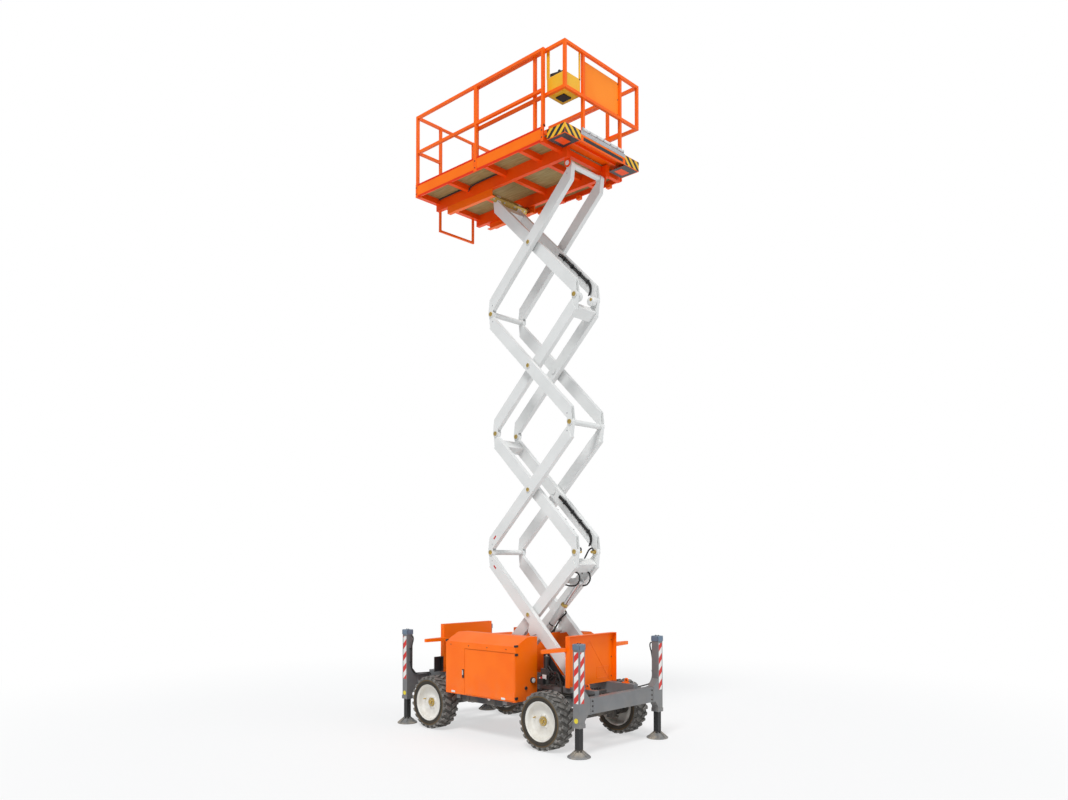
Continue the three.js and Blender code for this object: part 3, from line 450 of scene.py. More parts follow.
# Copies of a shape round an axis through the origin.
roundTree, given, result = newTree("repeatRound", [("Count", "Int", 8), ("Step", "Vector", None),
                                                   ("Material", "Material", None)])
points = roundTree.nodes.new("GeometryNodeMeshLine")
link(roundTree, given["Count"], points.inputs["Count"])
points.inputs["Offset"].default_value = (0, 0, 0)
index = roundTree.nodes.new("GeometryNodeInputIndex")
copies = roundTree.nodes.new("GeometryNodeInstanceOnPoints")
link(roundTree, points.outputs[0], copies.inputs["Points"])
link(roundTree, given["Geometry"], copies.inputs["Instance"])
link(roundTree, vectorNode(roundTree, "SCALE", given["Step"], index.outputs[0]), copies.inputs["Rotation"])
endTree(roundTree, copies.outputs[0], given["Material"], result)

# Copies of a shape in a straight row.
rowTree, given, result = newTree("repeatRow", [("Count", "Int", 5), ("Step", "Vector", None),
                                               ("Material", "Material", None)])
points = rowTree.nodes.new("GeometryNodeMeshLine")
link(rowTree, given["Count"], points.inputs["Count"])
link(rowTree, given["Step"], points.inputs["Offset"])
copies = rowTree.nodes.new("GeometryNodeInstanceOnPoints")
link(rowTree, points.outputs[0], copies.inputs["Points"])
link(rowTree, given["Geometry"], copies.inputs["Instance"])
endTree(rowTree, copies.outputs[0], given["Material"], result)

# A hose or bent tube along a line of points.
hoseTree, given, result = newTree("bentTube", [("Radius", "Float", 0.01), ("Sides", "Int", 10),
                                               ("Spacing", "Float", 0.03), ("Material", "Material", None)])
toCurve = hoseTree.nodes.new("GeometryNodeMeshToCurve")
splineType = hoseTree.nodes.new("GeometryNodeCurveSplineType")
splineType.spline_type = "CATMULL_ROM"
resample = hoseTree.nodes.new("GeometryNodeResampleCurve")
resample.mode = "LENGTH"
ring = hoseTree.nodes.new("GeometryNodeCurvePrimitiveCircle")
sweep = hoseTree.nodes.new("GeometryNodeCurveToMesh")
sweep.inputs["Fill Caps"].default_value = True
link(hoseTree, given["Geometry"], toCurve.inputs[0])
link(hoseTree, toCurve.outputs[0], splineType.inputs[0])
link(hoseTree, splineType.outputs[0], resample.inputs[0])
link(hoseTree, given["Spacing"], resample.inputs["Length"])
link(hoseTree, given["Sides"], ring.inputs["Resolution"])
link(hoseTree, given["Radius"], ring.inputs["Radius"])
link(hoseTree, resample.outputs[0], sweep.inputs["Curve"])
link(hoseTree, ring.outputs[0], sweep.inputs["Profile Curve"])
endTree(hoseTree, sweep.outputs[0], given["Material"], result)


# Runs a tree on a small mesh and gives back the plain result.
def grow(mesh, tree, values):
    carrier = bpy.data.objects.new("carrier", mesh)
    bpy.context.collection.objects.link(carrier)
    modifier = carrier.modifiers.new("grow", "NODES")
    modifier.node_group = tree
    for item in tree.interface.items_tree:
        if item.in_out == "INPUT" and item.name in values:
            modifier[item.identifier] = values[item.name]
    graph = bpy.context.evaluated_depsgraph_get()
    plain = bpy.data.meshes.new_from_object(carrier.evaluated_get(graph))
    carrier.modifiers.clear()
    bpy.data.objects.remove(carrier)
    return plain


def axisTurn(axis):
    return {"X": Matrix.Rotation(math.pi / 2, 4, "Y"), "Y": Matrix.Rotation(-math.pi / 2, 4, "X"),
            "Z": Matrix.Identity(4)}[axis]


# Two triangles make a rectangle cleanly when their shared edge is the longest of both.
def keepsSimple(edge):
    limit = edge.calc_length() + 1e-6
    for face in edge.link_faces:
        if len(face.verts) != 3 or any(other.calc_length() > limit for other in face.edges):
            return False
    return True


# One piece under construction: solids of several finishes in one mesh, in the frame's own metres.
class Workpiece:
    def __init__(self, name, place=None):
        self.name = name
        self.shape = bmesh.new()
        self.shape.faces.layers.float.new("edge")
        self.finishNames = []
        self.place = place or Matrix.Identity(4)

    def finishIndex(self, finish):
        if finish not in self.finishNames:
            self.finishNames.append(finish)
        return self.finishNames.index(finish)

    # Rounds the sharp edges of a fresh solid, marks them for wear and adds the solid to the piece.
    def take(self, solid, finish, edge=0.0, place=None, segments=2, sharp=30.0):
        layer = solid.faces.layers.float.get("edge") or solid.faces.layers.float.new("edge")
        if edge > 0:
            limit = math.radians(sharp)
            chosen = [e for e in solid.edges if e.is_manifold and e.calc_face_angle(0.0) > limit]
            if chosen:
                made = bmesh.ops.bevel(solid, geom=chosen, offset=edge, offset_type="OFFSET",
                                       segments=segments, profile=0.5, affect="EDGES", clamp_overlap=True)
                for face in made["faces"]:
                    face[layer] = 1.0
        index = self.finishIndex(finish)
        for face in solid.faces:
            face.material_index = index
        mesh = bpy.data.meshes.new("part")
        solid.to_mesh(mesh)
        solid.free()
        mesh.transform(self.place @ place if place else self.place)
        self.shape.from_mesh(mesh)
        bpy.data.meshes.remove(mesh)

    def box(self, low, high, finish, edge=0.003, turn=None, segments=2):
        low, high = Vector(low), Vector(high)
        solid = bmesh.new()
        size = Matrix.Diagonal((*(high - low), 1))
        bmesh.ops.create_cube(solid, size=1.0, matrix=size)
        place = Matrix.Translation((low + high) / 2)
        self.take(solid, finish, edge, place @ turn if turn else place, segments)

    # A box on one side of the machine, with its y values measured outwards from the centre plane.
    def sideBox(self, way, low, high, finish, edge=0.003):
        near, far = span(way, low[1], high[1])
        self.box((low[0], near, low[2]), (high[0], far, high[2]), finish, edge)

    def rod(self, start, end, radius, finish, sides=20, edge=0.002, endRadius=None):
        start, end = Vector(start), Vector(end)
        solid = bmesh.new()
        bmesh.ops.create_cone(solid, cap_ends=True, segments=sides, radius1=radius,
                              radius2=radius if endRadius is None else endRadius, depth=(end - start).length)
        turn = (end - start).to_track_quat("Z", "Y").to_matrix().to_4x4()
        self.take(solid, finish, edge, Matrix.Translation((start + end) / 2) @ turn, 2, 40.0)

    # A ring or cup from (radius, height) points, turned about an axis through a centre.
    # A way of -1 flips the heights.
    def turned(self, profile, centre, axis, finish, sides=48, way=1, edge=0.0, closed=False):
        solid = bmesh.new()
        rings = []
        for radius, height in profile:
            if radius < 1e-6:
                rings.append([solid.verts.new((0, 0, height * way))])
                continue
            rings.append([solid.verts.new((radius * math.cos(2 * math.pi * k / sides),
                                           radius * math.sin(2 * math.pi * k / sides), height * way))
                          for k in range(sides)])
        pairs = list(zip(rings, rings[1:] + ([rings[0]] if closed else [])))
        for lower, upper in pairs if closed else pairs[:len(rings) - 1]:
            for k in range(sides):
                corners = [lower[k % len(lower)], lower[(k + 1) % len(lower)],
                           upper[(k + 1) % len(upper)], upper[k % len(upper)]]
                corners = list(dict.fromkeys(corners))
                if len(corners) > 2:
                    solid.faces.new(corners)
        bmesh.ops.recalc_face_normals(solid, faces=solid.faces)
        self.take(solid, finish, edge, Matrix.Translation(centre) @ axisTurn(axis))

    # A flat outline given thickness along an axis: points are (x, z) for Y, (x, y) for Z and (y, z) for X.
    def plate(self, outline, axis, low, high, finish, edge=0.002):
        solid = bmesh.new()
        order = {"X": (2, 0, 1), "Y": (0, 2, 1), "Z": (0, 1, 2)}[axis]
        bottom = [solid.verts.new([(a, b, low)[k] for k in order]) for a, b in outline]
        top = [solid.verts.new([(a, b, high)[k] for k in order]) for a, b in outline]
        solid.faces.new(bottom)
        solid.faces.new(top)
        count = len(outline)
        for k in range(count):
            solid.faces.new((bottom[k], bottom[(k + 1) % count], top[(k + 1) % count], top[k]))
        bmesh.ops.recalc_face_normals(solid, faces=solid.faces)
        self.take(solid, finish, edge)

    def hose(self, points, radius, finish, sides=10, spacing=0.02):
        mesh = bpy.data.meshes.new("route")
        mesh.from_pydata([Vector(p) for p in points], [(k, k + 1) for k in range(len(points) - 1)], [])
        plain = grow(mesh, hoseTree, {"Radius": radius, "Sides": sides, "Spacing": spacing,
                                      "Material": finishes[finish]})
        self.addPlain(plain, finish)

    # Copies of a shape made by the row or the round tree, in the shape's own finish.
    def repeated(self, unit, tree, count, step, finish, place=None):
        mesh = bpy.data.meshes.new("unit")
        unit.shape.to_mesh(mesh)
        plain = grow(mesh, tree, {"Count": count, "Step": step, "Material": finishes[finish]})
        if place:
            plain.transform(place)
        self.addPlain(plain, finish)

    def addPlain(self, plain, finish):
        plain.transform(self.place)
        solid = bmesh.new()
        solid.from_mesh(plain)
        bpy.data.meshes.remove(plain)
        index = self.finishIndex(finish)
        for face in solid.faces:
            face.material_index = index
        mesh = bpy.data.meshes.new("grown")
        solid.to_mesh(mesh)
        solid.free()
        self.shape.from_mesh(mesh)
        bpy.data.meshes.remove(mesh)

    # A copy of a CAD node with its triangles merged back to faces and its edges rounded.
    def softened(self, node, finish, edge=0.003, sharp=32.0, segments=2):
        solid = bmesh.new()
        solid.from_mesh(nodes[node].data)
        bmesh.ops.remove_doubles(solid, verts=solid.verts, dist=2e-5)
        level = math.radians(0.5)
        flat = [e for e in solid.edges if len(e.link_faces) == 2 and e.calc_face_angle(1.0) < level]
        bmesh.ops.dissolve_edges(solid, edges=[e for e in flat if keepsSimple(e)], use_verts=False)
        self.take(solid, finish, edge, None, segments, sharp)

    def finished(self, body, stands=(), smoothAngle=38.0):
        limit = math.radians(smoothAngle)
        for edge in self.shape.edges:
            edge.smooth = len(edge.link_faces) == 2 and edge.calc_face_angle(0.0) < limit
        for face in self.shape.faces:
            face.smooth = True
        mesh = bpy.data.meshes.new(self.name)
        self.shape.to_mesh(mesh)
        self.shape.free()
        for finish in self.finishNames:
            mesh.materials.append(finishes[finish])
        piece = bpy.data.objects.new(self.name, mesh)
        bpy.context.collection.objects.link(piece)
        weighted = piece.modifiers.new("evenShading", "WEIGHTED_NORMAL")
        weighted.keep_sharp = True
        weighted.weight = 60
        if stands:
            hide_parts(*stands)
        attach(piece, body)
        return piece


def unitPart(name="unit"):
    return Workpiece(name)


def span(way, low, high):
    return tuple(sorted((way * low, way * high)))


sides = (("right", -1), ("left", 1))
ends = (("front", 1), ("rear", -1))


wheel = {
    "centreX": 1.051, "centreY": 0.745, "radius": 0.359, "halfWidth": 0.131,
    "lugs": 24, "lugHeight": 0.019, "lugWidth": 0.042, "lugSlant": 30,   # slant in degrees
    "hubBolts": 8, "valveAt": 0.150,
}


def makeWheel(end, endWay, side, way):
    centre = Vector((endWay * wheel["centreX"], way * wheel["centreY"], wheel["radius"]))
    body = f"{end}_{side}_wheel"
    tyre = Workpiece(f"{end}_{side}_tyre_treaded")
    half = wheel["halfWidth"]
    for flip in (1, -1):
        wall = [(0.2426, 0.0), (0.2426, 0.108), (0.2460, 0.1205), (0.252, 0.1265), (0.262, 0.1288),
                (0.278, 0.1290), (0.292, 0.1280), (0.2935, 0.1300)]
        ring = [(0.2935, 0.1300), (0.297, 0.1308), (0.305, 0.1308), (0.3085, 0.1300)]
        shoulder = [(0.3085, 0.1300), (0.310, 0.1275), (0.320, 0.123), (0.330, 0.113), (0.3365, 0.096),
                    (0.339, 0.060), (0.340, 0.0)]
        for part, finish in ((wall, "sidewallRubber"), (ring, "ringRubber"), (shoulder, "tyreRubber")):
            tyre.turned(part, centre, "Y", finish, 72, flip)
    step = 2 * math.pi / wheel["lugs"]
    upright = Matrix.Translation(centre) @ axisTurn("Y")
    top = wheel["radius"] - 0.0008
    for lane, sign in ((0, 1), (1, -1)):
        lug = unitPart()
        slant = Matrix.Rotation(math.radians(wheel["lugSlant"]) * sign, 4, "X")
        wide = wheel["lugWidth"] / 2
        lug.box((top - wheel["lugHeight"], -wide, -0.052), (top, wide, 0.052), "treadRubber", 0.004, slant)
        for corner in lug.shape.verts:
            corner.co.z += sign * 0.061
            corner.co.x = min(corner.co.x, math.sqrt(max(0.0, top ** 2 - corner.co.y ** 2)))
        low, high = span(sign, half - 0.024, half - 0.0012)
        lug.box((0.3135, -wide * 0.95, low), (0.345, wide * 0.95, high), "treadRubber", 0.005)
        phase = Matrix.Rotation(step / 2 * lane, 4, "Z")
        tyre.repeated(lug, roundTree, wheel["lugs"], (0, 0, step), "treadRubber", upright @ phase)
    tyre.finished(body, [f"{end}_{side}_tyre"])

    rim = Workpiece(f"{end}_{side}_rim_dished")
    dish = [(0.058, 0.058), (0.074, 0.060), (0.086, 0.055), (0.096, 0.047), (0.150, 0.042), (0.186, 0.047),
            (0.202, 0.058), (0.211, 0.080), (0.217, 0.101), (0.222, 0.112), (0.232, 0.115), (0.237, 0.122),
            (0.2425, 0.1275), (0.2460, 0.1250), (0.2424, 0.108), (0.2424, -0.108), (0.2460, -0.1250),
            (0.2425, -0.1275),
            (0.236, -0.124), (0.228, -0.114), (0.222, -0.100), (0.220, 0.020), (0.190, 0.034), (0.058, 0.034)]
    rim.turned(dish, centre, "Y", "rimPaint", 64, way, 0.0, True)
    hub = [(0.0, 0.101), (0.0192, 0.101), (0.0264, 0.096), (0.0288, 0.080), (0.0552, 0.076), (0.0575, 0.070),
           (0.0575, 0.060), (0.0575, 0.030), (0.0, 0.030)]
    rim.turned(hub, centre, "Y", "goldZinc", 40, way)
    bolt = unitPart()
    bolt.rod((0.038, 0, way * 0.072), (0.038, 0, way * 0.086), 0.0065, "brightSteel", 6, 0.0008)
    rim.repeated(bolt, roundTree, wheel["hubBolts"], (0, 0, math.pi / 4), "brightSteel", upright)
    nut = unitPart()
    nut.rod((0.076, 0, way * 0.056), (0.076, 0, way * 0.070), 0.0085, "rimPaint", 6, 0.001)
    nut.rod((0.076, 0, way * 0.052), (0.076, 0, way * 0.0605), 0.0125, "rimPaint", 16, 0.001)
    rim.repeated(nut, roundTree, 6, (0, 0, math.pi / 3), "rimPaint", upright)
    valveX, valveZ = centre.x - wheel["valveAt"], centre.z + 0.03
    rim.rod((valveX, centre.y + way * 0.040, valveZ), (valveX + 0.006, centre.y + way * 0.085, valveZ), 0.008,
            "goldZinc", 12, 0.001)
    rim.finished(body, [f"{end}_{side}_rim"])


for endName, endWay in ends:
    for sideName, sideWay in sides:
        makeWheel(endName, endWay, sideName, sideWay)
print("wheels made")


jack = {
    "x": 1.607, "y": 0.789, "half": 0.050, "bottom": 0.345, "top": 1.327,
    "tapeLow": 0.632, "tapeHigh": 1.236, "tapeWidth": 0.066, "tapeThick": 0.0016,
    "capLow": 1.262, "capHalf": 0.056, "stickerZ": 0.432, "stickerRadius": 0.030,
}


def makeJackBeam(end, way):
    piece = Workpiece(f"{end}_jack_beam_painted")
    piece.softened(f"{end}_jack_beam", "greyPaint", 0.005)
    x = way * jack["x"]
    half = jack["half"]
    cap = jack["capHalf"]
    tape = jack["tapeWidth"] / 2
    low, high = jack["tapeLow"], jack["tapeHigh"]
    bottom, top = jack["bottom"], jack["top"]
    for sideName, side in sides:
        y = side * jack["y"]
        faceX = x + way * half
        faceY = y + side * half
        tapeX = sorted((faceX, faceX + way * jack["tapeThick"]))
        tapeY = sorted((faceY, faceY + side * jack["tapeThick"]))
        piece.box((tapeX[0], y - tape, low), (tapeX[1], y + tape, high), "redWhiteTape", 0.0005)
        piece.box((x - tape, tapeY[0], low), (x + tape, tapeY[1], high), "redWhiteTape", 0.0005)
        # The cap is hollow, since the leg rises inside it.
        piece.box((x - cap, y - cap, 1.316), (x + cap, y + cap, top + 0.004), "capPaint", 0.005)
        for turn in (-1, 1):
            wallX = sorted((x + turn * half * 0.99, x + turn * cap))
            wallY = sorted((y + turn * half * 0.99, y + turn * cap))
            piece.box((wallX[0], y - cap, jack["capLow"]), (wallX[1], y + cap, 1.320), "capPaint", 0.002)
            piece.box((x - cap, wallY[0], jack["capLow"]), (x + cap, wallY[1], 1.320), "capPaint", 0.002)
        # Bands round the mouth of the housing.
        for turn in (-1, 1):
            bandX = sorted((x + turn * (half + 0.006), x + turn * (half - 0.004)))
            piece.box((bandX[0], y - half - 0.006, bottom), (bandX[1], y + half + 0.006, bottom + 0.05),
                      "greyPaint", 0.002)
        piece.box((x - half - 0.005, faceY - side * 0.002 - 0.003, bottom),
                  (x + half + 0.005, faceY + side * 0.002 + 0.003, bottom + 0.05), "greyPaint", 0.002)
        stickerZ = jack["stickerZ"]
        piece.rod((x, faceY, stickerZ), (x, faceY + side * 0.0045, stickerZ), jack["stickerRadius"],
                  "yellowVinyl", 28, 0.0006)
        for offset in (-0.02, 0.02):
            piece.rod((x + offset, y, top + 0.003), (x + offset, y, top + 0.014), 0.009, "blackPaint", 6,
                      0.001)
        back = x - way * (half + 0.012)
        piece.hose([(back, y - side * 0.02, 1.24), (back - way * 0.03, y - side * 0.02, 1.235),
                    (back - way * 0.034, y - side * 0.025, 1.19), (back - way * 0.012, y - side * 0.02, 1.10),
                    (back, y - side * 0.01, 0.95), (back, y - side * 0.02, 0.80),
                    (back - way * 0.004, y - side * 0.07, 0.715),
                    (back - way * 0.004, y - side * 0.16, 0.700),
                    (back, y - side * 0.30, 0.694), (back, y - side * 0.42, 0.692)], 0.0085, "hoseRubber")
        clipY = y - side * 0.01
        for z in (1.05, 0.86):
            piece.box((back - 0.012, clipY - 0.016, z), (back + 0.013, clipY + 0.016, z + 0.018),
                      "blackPlastic", 0.003)
        collar = y - side * 0.155
        piece.box((x - 0.056, collar - 0.006, 0.484), (x + 0.056, collar + 0.006, 0.686), "greyPaint", 0.002)
        boltY = collar - side * 0.035
        bolt = unitPart()
        bolt.rod((x + way * 0.05, boltY, 0.525), (x + way * 0.062, boltY, 0.525), 0.011, "blackPaint", 6,
                 0.001)
        piece.repeated(bolt, rowTree, 3, (0, 0, 0.06), "blackPaint")
    piece.finished("chassis", [f"{end}_jack_beam"])


def makeJackLeg(end, way, side, sideWay):
    name = f"{end}_{side}_jack_leg"
    piece = Workpiece(f"{name}_painted")
    x, y = way * jack["x"], sideWay * jack["y"]
    piece.box((x - 0.0365, y - 0.0365, 0.085), (x + 0.0365, y + 0.0365, 1.050), "legPaint", 0.006)
    foot = [(0.0, 0.0), (0.132, 0.0), (0.140, 0.004), (0.140, 0.014), (0.134, 0.020), (0.118, 0.019),
            (0.092, 0.034), (0.070, 0.052), (0.054, 0.066), (0.050, 0.074), (0.0, 0.074)]
    piece.turned(foot, (x, y, 0), "Z", "footSteel", 40)
    rib = unitPart()
    rib.plate([(0.045, 0.030), (0.128, 0.014), (0.128, 0.024), (0.054, 0.086), (0.045, 0.086)], "Y",
              -0.004, 0.004, "footSteel", 0.001)
    piece.repeated(rib, roundTree, 8, (0, 0, math.pi / 4), "footSteel", Matrix.Translation((x, y, 0)))
    boot = [(0.0, 0.066), (0.052, 0.066), (0.055, 0.071), (0.050, 0.076), (0.053, 0.081), (0.048, 0.086),
            (0.050, 0.091), (0.044, 0.096), (0.0, 0.097)]
    piece.turned(boot, (x, y, 0), "Z", "hoseRubber", 32)
    piece.finished(name, [name])


for endName, endWay in ends:
    makeJackBeam(endName, endWay)
    for sideName, sideWay in sides:
        makeJackLeg(endName, endWay, sideName, sideWay)
print("jacks made")


def addBolts(piece, places, axis, way, radius, finish, rise=0.008):
    reach = {"X": Vector((way * rise, 0, 0)), "Y": Vector((0, way * rise, 0)),
             "Z": Vector((0, 0, way * rise))}[axis]
    for place in places:
        start = Vector(place)
        piece.rod(start - reach * 0.2, start + reach * 0.25, radius * 1.35, finish, 16, 0.0006)
        piece.rod(start, start + reach, radius, finish, 6, 0.0008)


chassisPart = {
    "railOuter": 0.430, "plateX": 1.5565, "clips": 6, "clipStep": 0.50, "spools": 4, "spoolStep": 0.05,
}


def makeChassis():
    piece = Workpiece("chassis_frame_welded")
    piece.softened("chassis_frame", "greyPaint", 0.004)
    outer = chassisPart["railOuter"]
    for end, way in ends:
        for side, sideWay in sides:
            boltX = way * chassisPart["plateX"] - way * 0.03
            places = [(boltX, sideWay * (outer + 0.0005), z) for z in (0.55, 0.61, 0.67)]
            addBolts(piece, places, "Y", sideWay, 0.010, "blackPaint")
    for side, way in sides:
        hoseY = way * (outer + 0.014)
        endY = way * (outer + 0.016)
        piece.hose([(-1.30, hoseY, 0.66), (-0.75, hoseY, 0.655), (0.0, hoseY, 0.650), (0.66, hoseY, 0.66),
                    (1.28, hoseY, 0.66), (1.50, endY, 0.662)], 0.010, "hoseRubber", 8, 0.06)
        piece.hose([(-1.30, hoseY, 0.635), (0.0, hoseY, 0.627), (1.28, hoseY, 0.635), (1.50, endY, 0.637)],
                   0.010, "hoseRubber", 8, 0.06)
        clip = unitPart()
        clip.sideBox(way, (-1.31, outer, 0.61), (-1.285, outer + 0.028, 0.675), "blackPlastic")
        piece.repeated(clip, rowTree, chassisPart["clips"], (chassisPart["clipStep"], 0, 0), "blackPlastic")
        piece.sideBox(way, (1.345, 0.370, 0.7325), (1.445, 0.410, 0.745), "orangePaint", 0.002)
        lugY = way * 0.39
        lug = [(1.385, 0.745), (1.435, 0.745), (1.440, 0.775), (1.425, 0.800), (1.395, 0.800), (1.380, 0.775)]
        piece.plate(lug, "Y", lugY - 0.008, lugY + 0.008, "orangePaint", 0.002)
        piece.rod((1.410, way * 0.381, 0.775), (1.410, way * 0.399, 0.775), 0.012, "blackPaint", 14, 0.001)
    piece.box((1.20, -0.12, 0.602), (1.315, 0.10, 0.672), "darkCast", 0.006)
    spool = unitPart()
    spool.rod((1.235, -0.09, 0.668), (1.235, -0.09, 0.700), 0.014, "blackPlastic", 16, 0.002)
    piece.repeated(spool, rowTree, chassisPart["spools"], (0, chassisPart["spoolStep"], 0), "blackPlastic")
    piece.box((1.30, -0.10, 0.594), (1.36, 0.08, 0.606), "greyPaint", 0.002)
    for offset in (-0.09, -0.04, 0.01, 0.06):
        piece.hose([(1.315, offset, 0.63), (1.345, offset * 1.3, 0.635), (1.40, offset * 2.2, 0.625),
                    (1.48, offset * 3.4, 0.635), (1.548, offset * 3.6, 0.650)], 0.0085, "hoseRubber", 8, 0.02)
    piece.finished("chassis", ["chassis_frame"])


axle = {"steerX": 0.965, "steerZ": 0.395, "kingpinY": 0.570}


def makeAxles():
    steerX, steerZ = axle["steerX"], axle["steerZ"]
    front = Workpiece("front_axle_steering")
    front.softened("front_axle", "blackPaint", 0.005)
    front.rod((steerX, -0.24, steerZ), (steerX, 0.24, steerZ), 0.032, "darkCast", 24)
    front.rod((steerX, -0.40, steerZ), (steerX, 0.40, steerZ), 0.015, "brightSteel", 18)
    for way in (-1, 1):
        front.rod((steerX, way * 0.215, steerZ), (steerX, way * 0.245, steerZ), 0.037, "blackPaint", 24)
        front.sideBox(way, (0.962, 0.12, 0.362), (1.000, 0.16, 0.428), "blackPaint")
        front.hose([(0.945, way * 0.20, 0.42), (0.92, way * 0.21, 0.455), (0.94, way * 0.26, 0.495),
                    (1.0, way * 0.32, 0.515)], 0.008, "hoseRubber", 8, 0.015)
    front.finished("chassis", ["front_axle"])
    rear = Workpiece("rear_axle_driven")
    rear.softened("rear_axle", "blackPaint", 0.006)
    centre = Vector((-wheel["centreX"], 0, wheel["radius"]))
    bulb = [(0.0, -0.13), (0.055, -0.13), (0.066, -0.118), (0.085, -0.09), (0.098, -0.05), (0.102, 0.0),
            (0.098, 0.05), (0.085, 0.09), (0.066, 0.118), (0.055, 0.13), (0.0, 0.13)]
    rear.turned(bulb, centre, "Y", "darkCast", 36)
    rear.turned([(0.0, 0.0), (0.078, 0.0), (0.084, 0.006), (0.080, 0.020), (0.060, 0.040), (0.0, 0.044)],
                centre + Vector((0.075, 0, 0)), "X", "darkCast", 30)
    rear.box((-0.955, -0.05, 0.315), (-0.905, 0.05, 0.403), "darkCast", 0.008)
    rear.finished("chassis", ["rear_axle"])


def makeKnuckle(side, way):
    piece = Workpiece(f"{side}_knuckle_machined")
    piece.softened(f"{side}_knuckle", "darkCast", 0.003)
    pinX, pinY = wheel["centreX"], way * axle["kingpinY"]
    piece.rod((pinX, pinY, 0.462), (pinX, pinY, 0.500), 0.026, "brightSteel", 18)
    piece.finished(f"{side}_knuckle", [f"{side}_knuckle"])


makeChassis()
makeAxles()
for sideName, sideWay in sides:
    makeKnuckle(sideName, sideWay)
print("chassis made")


boxPart = {
    "rear": -0.700, "front": 0.615, "outer": 0.850, "doorRear": -0.326, "reflectorZ": (0.552, 0.578),
    "louvres": 9,
}


def makeBox(side, way):
    front, rear, outer = boxPart["front"], boxPart["rear"], boxPart["outer"]
    lensLow, lensHigh = boxPart["reflectorZ"]
    shell = Workpiece(f"{side}_box_panelled")
    shell.softened(f"{side}_box", "orangePaint", 0.004)
    shell.sideBox(way, (-0.366, outer - 0.001, 0.760), (-0.336, outer + 0.013, 0.875), "blackPlastic", 0.004)
    shell.sideBox(way, (-0.361, outer + 0.010, 0.800), (-0.341, outer + 0.016, 0.862), "brightSteel", 0.002)
    shell.sideBox(way, (-0.585, outer - 0.001, lensLow), (-0.515, outer + 0.004, lensHigh), "whiteLens",
                  0.002)
    corners = [(x, way * outer, z) for x in (-0.640, -0.380) for z in (0.600, 1.100)]
    addBolts(shell, corners, "Y", way, 0.0055, "orangePaint", 0.004)
    for z0, z1 in ((1.115, 1.148), (0.567, 0.602)):
        shell.sideBox(way, (front - 0.006, outer - 0.045, z0), (front + 0.008, outer + 0.004, z1),
                      "blackPlastic")
    slot = unitPart()
    low, high = span(way, 0.52, 0.78)
    slot.plate([(rear - 0.010, 0.700), (rear + 0.001, 0.700), (rear + 0.001, 0.722)], "Y", low, high,
               "orangePaint", 0.0008)
    shell.repeated(slot, rowTree, boxPart["louvres"], (0, 0, 0.032), "orangePaint")
    # A thin black sheet on the face under the louvres stands for the shade in the vent openings: painted
    # shade.
    shell.box((rear - 0.0015, low, 0.690), (rear + 0.001, high, 0.985), "blackPaint", 0.0004)
    lampY, plugY = way * 0.545, way * 0.66
    shell.rod((front - 0.002, lampY, 0.790), (front + 0.026, lampY, 0.790), 0.036, "blackPlastic", 28)
    shell.rod((front + 0.020, lampY, 0.790), (front + 0.029, lampY, 0.790), 0.030, "whiteLens", 28)
    shell.rod((front - 0.002, plugY, 0.700), (front + 0.012, plugY, 0.700), 0.022, "blackPaint", 24)
    # The dark tray under the box, its two straps, and the white wedge beside it.
    shell.sideBox(way, (-0.430, 0.500, 0.446), (0.345, 0.800, 0.5375), "blackPaint", 0.012)
    for x in (-0.30, 0.20):
        shell.sideBox(way, (x - 0.016, 0.494, 0.441), (x + 0.016, 0.806, 0.5378), "blackPaint")
    wedge = [(0.06, 0.536), (0.125, 0.536), (0.115, 0.505), (0.085, 0.500)]
    shell.plate(wedge, "Y", *span(way, 0.8055, 0.8115), "whitePaint", 0.001)
    shell.sideBox(way, (0.06, 0.79, 0.530), (0.125, 0.8125, 0.5375), "whitePaint", 0.001)
    shell.hose([(-0.46, way * 0.62, 0.52), (-0.52, way * 0.60, 0.49), (-0.60, way * 0.52, 0.50),
                (-0.66, way * 0.455, 0.535), (-0.68, way * 0.440, 0.60)], 0.013, "hoseRubber", 10, 0.02)
    shell.finished("chassis", [f"{side}_box"])

    roof = Workpiece(f"{side}_box_roof_folded")
    roof.softened(f"{side}_box_roof", "orangePaint", 0.006)
    for x0, x1 in ((front - 0.020, front + 0.006), (rear - 0.006, rear + 0.020)):
        roof.sideBox(way, (x0, 0.800, 1.225), (x1, outer + 0.006, 1.252), "blackPlastic", 0.004)
    screws = [(x, way * (outer - 0.0005), 1.190) for x in (-0.60, -0.25, 0.10, 0.45)]
    addBolts(roof, screws, "Y", way, 0.006, "blackPaint", 0.005)
    roof.finished("chassis", [f"{side}_box_roof"])

    door = Workpiece(f"{side}_box_door_pressed")
    door.softened(f"{side}_box_door", "orangePaint", 0.004)
    door.sideBox(way, (0.365, outer - 0.001, lensLow), (0.435, outer + 0.004, lensHigh), "whiteLens", 0.002)
    doorRear = boxPart["doorRear"]
    for z0, z1 in ((0.5495, 0.556), (1.138, 1.1445)):
        door.sideBox(way, (doorRear + 0.004, outer - 0.0005, z0), (0.608, outer + 0.0022, z1),
                     "orangePaint", 0.001)
    door.finished(f"{side}_door", [f"{side}_box_door"])


engine = {"crankY": -0.650, "crankZ": 0.665, "fins": 7, "finStep": 0.013, "filter": (0.110, -0.775)}


